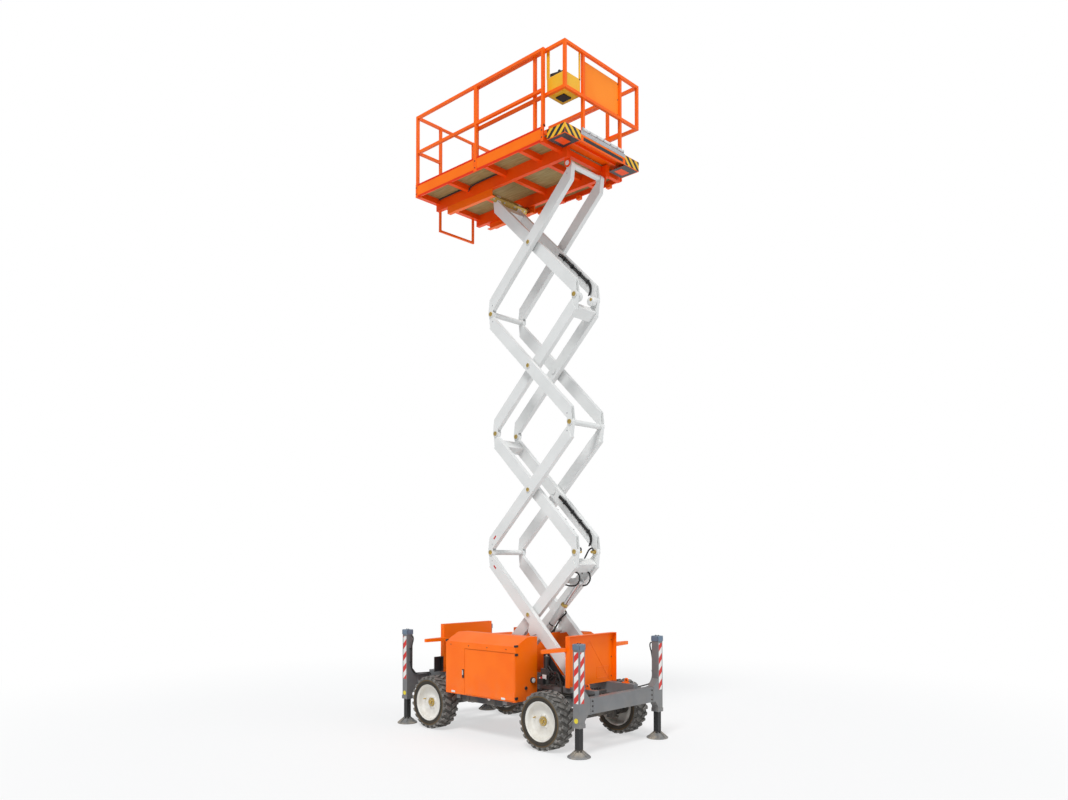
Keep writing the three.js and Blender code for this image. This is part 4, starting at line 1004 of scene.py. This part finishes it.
def makeEngine():
    crankY, crankZ = engine["crankY"], engine["crankZ"]
    filterX, filterY = engine["filter"]
    piece = Workpiece("engine_assembly")
    piece.box((-0.150, -0.760, 0.560), (0.290, -0.540, 0.780), "darkCast", 0.012)
    piece.box((-0.130, -0.740, 0.775), (0.270, -0.560, 0.875), "darkCast", 0.008)
    piece.box((-0.110, -0.720, 0.870), (0.250, -0.585, 0.925), "blackPaint", 0.018)
    fin = unitPart()
    fin.box((-0.120, -0.752, 0.780), (0.262, -0.548, 0.785), "darkCast", 0.001)
    piece.repeated(fin, rowTree, engine["fins"], (0, 0, engine["finStep"]), "darkCast")
    piece.rod((0.285, crankY, crankZ), (0.400, crankY, crankZ), 0.105, "darkCast", 40, 0.008)
    piece.rod((0.395, crankY, crankZ), (0.465, crankY, crankZ), 0.060, "blackPaint", 32, 0.006)
    piece.rod((-0.190, crankY, 0.640), (-0.145, crankY, 0.640), 0.070, "blackPaint", 36, 0.004)
    piece.rod((-0.200, crankY, 0.790), (-0.150, crankY, 0.790), 0.090, "blackPlastic", 36, 0.004)
    piece.rod((-0.225, crankY, 0.790), (-0.196, crankY, 0.790), 0.030, "brightSteel", 24, 0.002)
    piece.rod((0.020, -0.640, 0.945), (0.240, -0.640, 0.945), 0.040, "blackPlastic", 28, 0.006)
    piece.box((0.05, -0.66, 0.915), (0.21, -0.62, 0.93), "blackPaint", 0.002)
    piece.rod((filterX, filterY, 0.680), (filterX, filterY, 0.600), 0.034, "redPlastic", 28, 0.004)
    piece.rod((filterX, filterY, 0.700), (filterX, filterY + 0.030, 0.700), 0.018, "darkCast", 18, 0.002)
    piece.hose([(filterX, filterY, 0.675), (filterX, filterY, 0.698), (filterX, filterY + 0.018, 0.700)],
               0.014, "darkCast", 10, 0.01)
    piece.hose([(-0.02, -0.755, 0.84), (-0.02, -0.775, 0.86), (0.05, -0.778, 0.90), (0.12, -0.74, 0.925),
                (0.16, -0.68, 0.93)], 0.009, "hoseRubber", 8, 0.015)
    piece.hose([(0.22, -0.555, 0.80), (0.26, -0.53, 0.82), (0.36, -0.53, 0.76), (0.40, -0.56, 0.70)],
               0.014, "brightSteel", 10, 0.02)
    for x in (-0.10, 0.24):
        piece.box((x - 0.03, -0.790, 0.5445), (x + 0.03, -0.510, 0.566), "greyPaint", 0.003)
    piece.finished("chassis", ["engine_block"])


cover = {
    "front": {"face": 1.121, "top": 1.372},
    "rear": {"face": 1.191, "top": 1.410},
}


def makeCover(end, way):
    piece = Workpiece(f"{end}_cover_pressed")
    piece.softened(f"{end}_cover", "orangePaint", 0.0022)
    face = way * cover[end]["face"]
    top = cover[end]["top"]
    near, far = sorted((face - way * 0.001, face + way * 0.004))
    for y0, y1 in ((-0.400, 0.0), (0.400, 0.0)):
        ridge = [(y0 - 0.012, 0.760), (y0 + 0.012, 0.760), (y1 + 0.012, top - 0.09), (y1 - 0.012, top - 0.09)]
        piece.plate(ridge, "X", near, far, "orangePaint", 0.0018)
    frame = [((0.130, 0.790), (0.390, 0.800)), ((0.130, 0.930), (0.390, 0.940)),
             ((0.130, 0.790), (0.140, 0.940)), ((0.380, 0.790), (0.390, 0.940))]
    for (y0, z0), (y1, z1) in frame:
        piece.box((near, y0, z0), (far, y1, z1), "orangePaint", 0.0015)
    screws = [(face, y, z) for y in (-0.44, 0.44) for z in (0.80, 1.05, top - 0.10)]
    addBolts(piece, screws, "X", way, 0.006, "blackPaint", 0.005)
    if way < 0:
        piece.box((-1.250, -0.600, 0.740), (-1.236, -0.4695, 0.950), "blackPaint", 0.003)
        piece.box((-1.250, -0.482, 0.740), (-1.192, -0.4695, 0.950), "blackPaint", 0.003)
        piece.rod((-1.243, -0.560, 0.90), (-1.262, -0.560, 0.90), 0.024, "blackPlastic", 24)
        piece.rod((-1.243, -0.560, 0.82), (-1.258, -0.560, 0.82), 0.014, "redPlastic", 20)
    piece.finished("chassis", [f"{end}_cover"])


stand = {"middle": 0.400, "width": (0.354, 0.444), "hoseY": (0.456, 0.474, 0.492)}


def makeHydraulics(side, way):
    piece = Workpiece(f"{side}_valve_stand")
    y0, y1 = span(way, *stand["width"])
    middle = way * stand["middle"]
    piece.box((0.655, y0, 0.7335), (1.000, y1, 0.7455), "blackPaint", 0.003)
    piece.box((0.665, y0 + 0.006, 0.745), (0.800, y1 - 0.006, 0.935), "darkCast", 0.006)
    piece.box((0.815, y0 + 0.010, 0.745), (0.925, y1 - 0.010, 0.865), "blackPaint", 0.006)
    piece.box((0.940, y0 + 0.014, 0.745), (0.990, y1 - 0.014, 0.785), "darkCast", 0.004)
    piece.rod((0.735, middle, 0.930), (0.735, middle, 1.095), 0.036, "blackPaint", 28, 0.010)
    piece.rod((0.735, middle, 1.092), (0.735, middle, 1.112), 0.012, "brightSteel", 12)
    for k in range(3):
        z = 0.790 + 0.048 * k
        piece.rod((0.800, middle, z), (0.834, middle, z), 0.015, "blackPlastic", 18)
    piece.rod((0.870, middle, 0.864), (0.870, middle, 0.900), 0.016, "redPlastic", 20)
    piece.rod((0.900, middle + way * 0.018, 0.864), (0.900, middle + way * 0.018, 0.884), 0.009,
              "whiteLens", 14)
    piece.sideBox(way, (0.70, 0.4435, 0.80), (0.77, 0.4455, 0.86), "whitePaint", 0.0005)
    piece.box((0.665, y0 + 0.006, 0.80), (0.80, y1, 0.86), "darkCast", 0.002)
    for k, bend in enumerate((0.955, 0.925, 0.895)):
        x = 0.775 - 0.022 * k
        piece.hose([(x, middle + way * 0.02, 0.930 - 0.01 * k), (x + 0.015, middle + way * 0.03, bend + 0.02),
                    (x + 0.07, middle + way * 0.032, bend - 0.03),
                    (x + 0.14, middle + way * 0.030, bend - 0.10),
                    (x + 0.19, middle + way * 0.028, 0.770)], 0.0095, "hoseRubber", 8, 0.015)
    for k, out in enumerate(stand["hoseY"]):
        y = way * out
        shift = 0.01 * k
        piece.hose([(0.790, middle, 0.780 + 0.035 * k), (0.830, way * 0.440, 0.800 + 0.035 * k),
                    (0.900, y, 0.850 + 0.030 * k), (0.985 + shift, y, 0.855 + 0.025 * k),
                    (1.040 + shift, y, 0.770), (1.050 + shift, y, 0.640), (1.030, y, 0.545)],
                   0.010, "hoseRubber", 8, 0.015)
    back = [(0.640, 0.7335), (1.045, 0.7335), (1.030, 0.790), (0.880, 0.950), (0.730, 1.120), (0.640, 1.150)]
    piece.plate(back, "Y", *span(way, 0.3525, 0.3565), "blackPlastic", 0.001)
    piece.sideBox(way, (0.655, 0.446, 0.7335), (0.900, 0.502, 0.7405), "blackPaint", 0.002)
    piece.sideBox(way, (0.660, 0.446, 0.740), (0.760, 0.502, 0.812), "blackPlastic", 0.006)
    piece.rod((0.710, way * 0.474, 0.810), (0.710, way * 0.474, 0.835), 0.013, "redPlastic", 18)
    piece.rod((0.685, way * 0.474, 0.810), (0.685, way * 0.474, 0.826), 0.009, "whiteLens", 16)
    piece.finished("chassis")


for sideName, sideWay in sides:
    makeBox(sideName, sideWay)
    makeHydraulics(sideName, sideWay)
makeEngine()
for endName, endWay in ends:
    makeCover(endName, endWay)
print("boxes and covers made")


mast = {
    "crossingX": 0.341, "firstZ": 0.7785, "pitch": 1.6489, "tilt": 44.573, "endX": 1.0914, "endZ": 0.082,
    "capRadius": 0.027, "redTabs": ((1, 1), (2, -1)),   # stage and end of each red tab
}


def armPlace(kind, stage):
    leansBack = (stage % 2 == 1) == (kind == "outer")
    centre = Matrix.Translation((mast["crossingX"], 0, mast["firstZ"] + (stage - 0.5) * mast["pitch"]))
    tilt = Matrix.Rotation(math.radians(mast["tilt"] if leansBack else -mast["tilt"]), 4, "Y")
    return centre @ tilt @ Matrix.Rotation(math.pi if leansBack else 0.0, 4, "Z")


def makeArm(kind, stage):
    node = f"{kind}_arm_{stage}"
    piece = Workpiece(node + "_welded")
    piece.softened(node, "whitePaint", 0.005)
    piece.place = armPlace(kind, stage)
    x, z = mast["endX"], mast["endZ"]
    for way in (-1, 1):
        if kind == "outer":
            cap = [(0.0, 0.348), (0.018, 0.348), (0.022, 0.3465), (mast["capRadius"], 0.3445),
                   (mast["capRadius"], 0.340), (0.0, 0.340)]
            piece.turned(cap, (0, 0, 0), "Y", "goldZinc", 28, way)
            if stage < 4:
                piece.turned([(0.0, 0.341), (0.014, 0.341), (0.018, 0.3385), (0.026, 0.3385), (0.030, 0.3365),
                              (0.030, 0.3302), (0.0, 0.3302)], (x, 0, z), "Y", "goldZinc", 28, way)
            for end in (-1, 1):
                if (stage, end) in mast["redTabs"]:
                    tabX = end * (x - 0.205)
                    piece.sideBox(way, (tabX - 0.030, 0.3292, -0.010), (tabX + 0.030, 0.3322, 0.012),
                                  "redPlastic", 0.001)
                nippleX, nippleZ = end * (x - 0.105), end * 0.028
                piece.rod((nippleX, way * 0.3292, nippleZ), (nippleX, way * 0.3325, nippleZ), 0.009,
                          "brightSteel", 8, 0.0006)
        else:
            if stage < 4:
                piece.turned([(0.0, 0.249), (0.014, 0.249), (0.018, 0.247), (0.030, 0.246), (0.030, 0.2405),
                              (0.0, 0.2405)], (x, 0, z), "Y", "goldZinc", 28, way)
                piece.turned([(0.0, 0.160), (0.014, 0.160), (0.018, 0.162), (0.030, 0.163), (0.030, 0.1695),
                              (0.0, 0.1695)], (x, 0, z), "Y", "goldZinc", 28, way)
    if kind == "inner":
        addArmHoses(piece, stage)
    if kind == "inner" and stage == 4:
        addRollerChannel(piece)
    piece.finished(node.replace("_arm", ""), [node])


armHose = {"side": 0.1585, "lanes": (0.026, 0.050), "radius": 0.0095, "loopRadius": 0.0105, "bossBack": 0.022}


def addArmHoses(piece, stage):
    for way in (-1, 1):
        y = way * armHose["side"]
        if stage % 2 == 0:
            for lane in armHose["lanes"]:
                piece.hose([(-0.985, y - way * 0.012, lane - 0.110), (-0.945, y, lane - 0.045),
                            (-0.87, y, lane - 0.004),
                            (-0.70, y, lane), (-0.35, y, lane + 0.002), (-0.20, y, lane),
                            (-0.150, y + way * 0.004, lane - 0.008),
                            (-0.130, y + way * 0.020, lane - 0.012)], armHose["radius"], "hoseRubber", 8,
                           0.02)
                piece.rod((-0.130, way * 0.1705, lane - 0.012), (-0.130, way * 0.163, lane - 0.012),
                          0.0125, "blackPlastic", 16)
            clip = unitPart()
            clip.sideBox(way, (-0.841, 0.144, 0.010), (-0.819, 0.1705, 0.068), "blackPlastic")
            piece.repeated(clip, rowTree, 4, (0.19, 0, 0), "blackPlastic")
        pinX, pinZ = mast["endX"], mast["endZ"]
        if stage == 1:
            low, high = span(way, 0.106, 0.163)
            piece.rod((pinX, low, pinZ), (pinX, high, pinZ), 0.020, "goldZinc", 20)
            loopY = way * 0.120
            piece.hose([(0.74, way * 0.176, 0.030), (0.765, way * 0.150, 0.040), (0.80, loopY, 0.070),
                        (0.90, loopY, 0.102),
                        (0.99, loopY, 0.122), (1.07, loopY, 0.138), (1.125, loopY, 0.118),
                        (1.122, loopY, 0.090),
                        (pinX, loopY, pinZ)], armHose["loopRadius"], "hoseRubber", 8, 0.012)
            piece.hose([(0.60, way * 0.176, -0.020), (0.62, way * 0.150, -0.045), (0.66, way * 0.115, -0.110),
                        (0.73, way * 0.105, -0.165), (0.82, way * 0.105, -0.160),
                        (0.865, way * 0.110, -0.095),
                        (0.84, way * 0.135, -0.030), (0.82, way * 0.176, 0.000)], armHose["loopRadius"],
                       "hoseRubber", 8, 0.014)
        if stage == 3:
            boss = [(0.0, 0.100), (0.042, 0.100), (0.054, 0.104), (0.060, 0.114), (0.062, 0.130),
                    (0.062, 0.1695), (0.0, 0.1695)]
            piece.turned(boss, (pinX - armHose["bossBack"], 0, pinZ), "Y", "whitePaint", 36, way)
            piece.turned([(0.0, 0.094), (0.016, 0.094), (0.020, 0.097), (0.020, 0.101), (0.0, 0.101)],
                         (pinX, 0, pinZ), "Y", "goldZinc", 24, way)


def addRollerChannel(piece):
    x, z = mast["endX"], mast["endZ"]
    half = 0.36
    piece.box((x - 0.055, -half, z + 0.030), (x + 0.050, half, z + 0.037), "goldZinc", 0.002)
    piece.box((x - 0.055, -half, z - 0.040), (x - 0.048, half, z + 0.037), "goldZinc", 0.002)
    piece.box((x + 0.043, -half, z - 0.005), (x + 0.050, half, z + 0.037), "goldZinc", 0.002)
    for way in (-1, 1):
        y0, y1 = span(way, 0.246, 0.252)
        piece.plate([(x - 0.055, z - 0.040), (x + 0.020, z - 0.040), (x + 0.050, z), (x + 0.050, z + 0.037),
                     (x - 0.055, z + 0.037)], "Y", y0, y1, "goldZinc", 0.001)
        addBolts(piece, [(x - 0.055, way * 0.30, z), (x - 0.055, way * 0.10, z)], "X", -1, 0.010,
                 "brightSteel")


for stage in range(1, 5):
    makeArm("outer", stage)
    makeArm("inner", stage)

lift = {"foot": Vector((0.3817, 0, 1.3734)), "eye": Vector((0.9411, 0, 2.0326))}


def makeLift():
    along = (lift["eye"] - lift["foot"]).normalized()
    place = Matrix.Translation(lift["foot"]) @ Matrix.Rotation(-math.atan2(along.z, along.x), 4, "Y")
    barrel = Workpiece("lift_barrel_fitted")
    barrel.softened("lift_barrel", "whitePaint", 0.003)
    barrel.place = place
    barrel.turned([(0.026, 0.452), (0.0445, 0.452), (0.0456, 0.455), (0.0456, 0.478), (0.043, 0.482),
                   (0.038, 0.487),
                   (0.028, 0.489), (0.026, 0.486)], (0, 0, 0), "X", "goldZinc", 32, 1, 0.0, True)
    barrel.turned([(0.0440, 0.120), (0.0458, 0.122), (0.0458, 0.138), (0.0440, 0.140)], (0, 0, 0), "X",
                  "blackPaint", 32)
    for x in (0.13, 0.42):
        barrel.rod((x, 0, -0.040), (x, 0, -0.060), 0.013, "whitePaint", 16)
        barrel.rod((x, 0, -0.058), (x, 0, -0.070), 0.010, "goldZinc", 6)
    barrel.hose([(0.42, 0, -0.066), (0.41, 0.008, -0.084), (0.37, 0.020, -0.078), (0.30, 0.024, -0.058),
                 (0.20, 0.026, -0.056),
                 (0.10, 0.030, -0.062), (0.05, 0.032, -0.076)], 0.011, "hoseRubber", 8, 0.015)
    barrel.hose([(0.13, 0, -0.066), (0.12, -0.006, -0.082), (0.09, -0.016, -0.084),
                 (0.05, -0.022, -0.080)], 0.011,
                "hoseRubber", 8, 0.012)
    barrel.box((0.24, 0.008, -0.072), (0.262, 0.040, -0.036), "blackPlastic", 0.003)
    barrel.finished("lift_barrel", ["lift_barrel"])
    rod = Workpiece("lift_rod_polished")
    rod.softened("lift_rod", "brightSteel", 0.002)
    rod.finished("lift_rod", ["lift_rod"])


makeLift()
print("mast made")


deck = {
    "rear": -1.444, "front": 1.041, "half": 0.795, "skirtLow": 7.514, "skirtTop": 7.700, "floorLow": 7.580,
    "floorTop": 7.592,
}


# Two crossed families of small raised studs on a walking surface.
def addStuds(piece, rear, rows, across, height):
    pitch = 0.062
    for turn, shift in ((35, 0.0), (-35, pitch / 2)):
        stud = unitPart()
        stud.plate([(-0.013, 0.0), (0.0, -0.0042), (0.013, 0.0), (0.0, 0.0042)], "Z", -0.0005, 0.0012,
                   "treadPlate", 0.0)
        stud.shape.transform(Matrix.Rotation(math.radians(turn), 4, "Z"))
        line = bpy.data.meshes.new("studLine")
        stud.shape.to_mesh(line)
        line = grow(line, rowTree, {"Count": across, "Step": (0, pitch, 0),
                                    "Material": finishes["treadPlate"]})
        field = grow(line, rowTree, {"Count": rows, "Step": (pitch, 0, 0),
                                     "Material": finishes["treadPlate"]})
        field.transform(Matrix.Translation((rear + shift, -0.725 + shift, height)))
        piece.addPlain(field, "treadPlate")


def makePlatform():
    piece = Workpiece("platform_frame_welded")
    # The frame takes the darker, redder copy of the orange: painted shade on the underside.
    piece.softened("platform_frame", "shadedFrameOrange", 0.003)
    half, skirtLow = deck["half"], deck["skirtLow"]
    rear, front = deck["rear"] + 0.001, deck["front"] - 0.001
    face = half - 0.0005
    for side, way in sides:
        # Lips along the bottom and top of each skirt in dark red: painted shade.
        piece.sideBox(way, (rear, face, skirtLow), (front, half + 0.0035, 7.536), "shadedLipRed", 0.0015)
        piece.sideBox(way, (rear, face, 7.545), (front, half + 0.0015, 7.672), "skirtOrange", 0.001)
        for x0, x1 in ((-1.4435, -1.402), (-0.2265, -0.1655), (1.000, 1.0405)):
            piece.sideBox(way, (x0, face, skirtLow - 0.002), (x1, half + 0.0075, 7.7002), "deckOrange")
        piece.sideBox(way, (rear, face, 7.682), (front, half + 0.0035, deck["skirtTop"]), "shadedLipRed", 0.0015)
        # Sockets of the guard rail's posts: the end ones stop at the corner of the frame.
        for x, behind, ahead in ((-1.425, 0.019, 0.0245), (-0.196, 0.0245, 0.0245), (1.022, 0.0245, 0.019)):
            piece.sideBox(way, (x - behind, 0.7515, 7.7002), (x + ahead, 0.7985, 7.728), "deckOrange")
            places = [(x, way * (half + 0.007), z) for z in (7.560, 7.650)]
            addBolts(piece, places, "Y", way, 0.007, "blackPaint", 0.006)
    for x in (0.30, -0.45, 0.84, -1.05):
        piece.box((x - 0.035, half - 0.060, skirtLow - 0.050), (x + 0.035, half - 0.002, skirtLow + 0.001),
                  "deckOrange", 0.003)
    for way in (-1, 1):
        piece.hose([(deck["rear"] + 0.10, way * 0.445, 7.565), (-0.75, way * 0.455, 7.560),
                    (-0.70, way * 0.455, 7.497),
                    (-0.60, way * 0.455, 7.558), (0.0, way * 0.46, 7.562)], 0.009, "hoseRubber", 8, 0.03)
    piece.finished("platform", ["platform_frame"])

    floor = Workpiece("platform_floor_chequered")
    half = deck["half"] - 0.0205
    floor.box((deck["rear"] + 0.0205, -half, deck["floorLow"]), (deck["front"], half, 7.5865), "floorPly",
              0.001)
    floor.box((deck["rear"] + 0.0205, -half, 7.5863), (deck["front"], half, deck["floorTop"] - 0.0012),
              "treadPlate", 0.001)
    addStuds(floor, deck["rear"] + 0.055, 39, 24, deck["floorTop"] - 0.0012)
    floor.finished("platform", ["platform_floor"])


control = {"top": 8.336, "stick": (1.110, -0.560), "stop": (1.230, -0.640),
           "switchY": (-0.560, -0.500, -0.455)}


def makeControls():
    top = control["top"]
    piece = Workpiece("control_box_fitted")
    piece.softened("control_box", "yellowPlastic", 0.015, 32, 4)
    piece.box((1.050, -0.682, 8.098), (1.294, -0.440, 8.110), "yellowPlastic", 0.005)
    piece.box((1.100, -0.630, 8.082), (1.240, -0.490, 8.100), "blackPlastic", 0.006)
    piece.box((1.045, -0.690, 8.328), (1.300, -0.432, 8.338), "blackPlastic", 0.003)
    stick = control["stick"]
    piece.turned([(0.0, 0.0), (0.044, 0.0), (0.044, 0.008), (0.036, 0.014), (0.032, 0.024),
                  (0.024, 0.030), (0.020, 0.040), (0.0, 0.042)], (*stick, top), "Z", "hoseRubber", 32)
    piece.rod((*stick, 8.370), (stick[0] - 0.008, stick[1], 8.425), 0.010, "blackPlastic", 16)
    piece.turned([(0.0, 0.0), (0.014, 0.002), (0.020, 0.016), (0.021, 0.036), (0.015, 0.052), (0.0, 0.056)],
                 (stick[0] - 0.008, stick[1], 8.418), "Z", "blackPlastic", 24)
    piece.rod((*control["stop"], top), (*control["stop"], 8.350), 0.026, "yellowVinyl", 28)
    piece.rod((*control["stop"], 8.348), (*control["stop"], 8.364), 0.012, "redPlastic", 20)
    piece.rod((*control["stop"], 8.362), (*control["stop"], 8.378), 0.021, "redPlastic", 28, 0.004)
    for y in control["switchY"]:
        piece.rod((1.235, y, top), (1.235, y, 8.346), 0.011, "brightSteel", 16)
        piece.rod((1.235, y, 8.345), (1.229, y, 8.366), 0.0035, "brightSteel", 10, 0.0006)
    piece.rod((1.165, -0.475, top), (1.165, -0.475, 8.352), 0.013, "goldZinc", 20)
    piece.rod((1.170, -0.4115, 8.160), (1.170, -0.386, 8.160), 0.014, "blackPlastic", 16)
    piece.plate([(1.060, top), (1.285, top), (1.285, 8.352), (1.060, 8.384)], "Y", -0.690, -0.640,
                "blackPlastic", 0.004)
    piece.box((1.021, -0.7115, 8.318), (1.075, -0.7065, 8.656), "yellowPlastic", 0.002)
    piece.box((1.3165, -0.446, 8.318), (1.3215, -0.411, 8.656), "yellowPlastic", 0.002)
    piece.rod((1.180, -0.520, top), (1.180, -0.520, 8.352), 0.030, "blackPlastic", 24)
    piece.rod((1.180, -0.520, 8.350), (1.172, -0.520, 8.440), 0.013, "blackPlastic", 18, 0.005)
    for y in (-0.695, -0.427):
        piece.box((1.296, y - 0.012, 8.31), (1.3245, y + 0.012, 8.327), "blackPlastic", 0.003)
    piece.finished("slide_deck", ["control_box"])


def makePanel():
    piece = Workpiece("front_panel_folded")
    piece.softened("front_panel", "panelOrange", 0.0015)
    for z in (8.160, 8.362, 8.565):
        addBolts(piece, [(1.3232, y, z) for y in (-0.340, 0.340)], "X", 1, 0.006, "blackPaint", 0.004)
    piece.finished("slide_deck", ["front_panel"])


rollOut = {"beads": 9, "beadStep": 0.16, "brackets": 7, "bracketStep": 0.138}


def makeSlideDeck():
    piece = Workpiece("slide_deck_fitted")
    piece.softened("slide_deck", "deckOrange", 0.003)
    for side, way in sides:
        piece.sideBox(way, (1.064, 0.7495, 7.534), (1.357, 0.7512, 7.653), "hazardTape", 0.0005)
        piece.sideBox(way, (1.3605, 0.452, 7.534), (1.3622, 0.748, 7.653), "hazardTape", 0.0005)
        # Under each front corner a thin black sheet stands for the shadow in the open hollow, with a patch of
        # the darker, redder orange in it: painted shadow and painted shade.
        piece.sideBox(way, (1.074, 0.464, 7.5285), (1.347, 0.736, 7.5305), "blackPaint", 0.0006)
        piece.sideBox(way, (1.130, 0.514, 7.5270), (1.250, 0.686, 7.5290), "shadedFrameOrange", 0.0006)
    bead = unitPart()
    bead.box((-0.270, -0.655, 7.5965), (1.035, -0.625, 7.6015), "deckOrange", 0.002)
    piece.repeated(bead, rowTree, rollOut["beads"], (0, rollOut["beadStep"], 0), "deckOrange")
    # Cross bars under the slide deck in the darker, redder orange: painted shade.
    for x in (1.190, 1.290):
        piece.box((x, -0.444, 7.562), (x + 0.016, 0.444, 7.6005), "shadedFrameOrange", 0.002)
    piece.box((1.3600, -0.446, 7.612), (1.3660, 0.446, 7.664), "galvanised", 0.002)
    piece.box((1.3605, -0.446, 7.590), (1.3640, 0.446, 7.610), "skirtOrange", 0.002)
    piece.box((1.3602, -0.400, 7.545), (1.3630, 0.400, 7.588), "blackPaint", 0.001)
    bracket = unitPart()
    bracket.plate([(1.346, 7.640), (1.368, 7.640), (1.368, 7.700), (1.360, 7.712), (1.346, 7.712)], "Y",
                  -0.418, -0.411, "galvanised", 0.0015)
    piece.repeated(bracket, rowTree, rollOut["brackets"], (0, rollOut["bracketStep"], 0), "galvanised")
    roll = unitPart()
    roll.rod((1.356, -0.404, 7.692), (1.356, -0.286, 7.692), 0.017, "whitePaint", 22)
    piece.repeated(roll, rowTree, rollOut["brackets"] - 1, (0, rollOut["bracketStep"], 0), "whitePaint")
    piece.rod((1.356, -0.425, 7.692), (1.356, 0.425, 7.692), 0.007, "brightSteel", 14)
    piece.finished("slide_deck", ["slide_deck"])

    plate = Workpiece("slide_deck_chequered")
    plate.box((-0.296, -0.736, 7.6215), (1.345, 0.736, 7.6235), "treadPlate", 0.0008)
    addStuds(plate, -0.270, 26, 24, 7.6235)
    plate.finished("slide_deck")

    rails = Workpiece("slide_guard_rail_rounded")
    rails.softened("slide_guard_rail", "deckOrange", 0.008)
    rails.finished("slide_deck", ["slide_guard_rail"])


makePlatform()
makeControls()
makePanel()
makeSlideDeck()
print("platform made")


keptNodes = [
    ("right_bottom_track", "chassis", "greyPaint", "grey_paint", 0.002),
    ("left_bottom_track", "chassis", "greyPaint", "grey_paint", 0.002),
    ("right_top_track", "platform", "deckOrange", "orange_paint", 0.002),
    ("left_top_track", "platform", "deckOrange", "orange_paint", 0.002),
    ("bottom_rollers", "inner_1", "brightSteel", "bright_steel", 0.003),
    ("top_rollers", "inner_4", "goldZinc", "zinc_plate", 0.003),
    ("right_guard_rail", "platform", "deckOrange", "orange_paint", 0.009),
    ("left_guard_rail", "platform", "deckOrange", "orange_paint", 0.009),
    ("rear_right_guard_rail", "platform", "deckOrange", "orange_paint", 0.009),
    ("rear_left_guard_rail", "platform", "deckOrange", "orange_paint", 0.009),
    ("entry_bar", "entry_bar", "deckOrange", "orange_paint", 0.009),
    ("entry_step", "platform", "deckOrange", "orange_paint", 0.007),
]
for node, body, finish, slot, edge in keptNodes:
    piece = Workpiece(node + "_rounded")
    piece.softened(node, finish, edge)
    piece.finished(body, [node])
print("kept nodes rounded:", len(keptNodes))
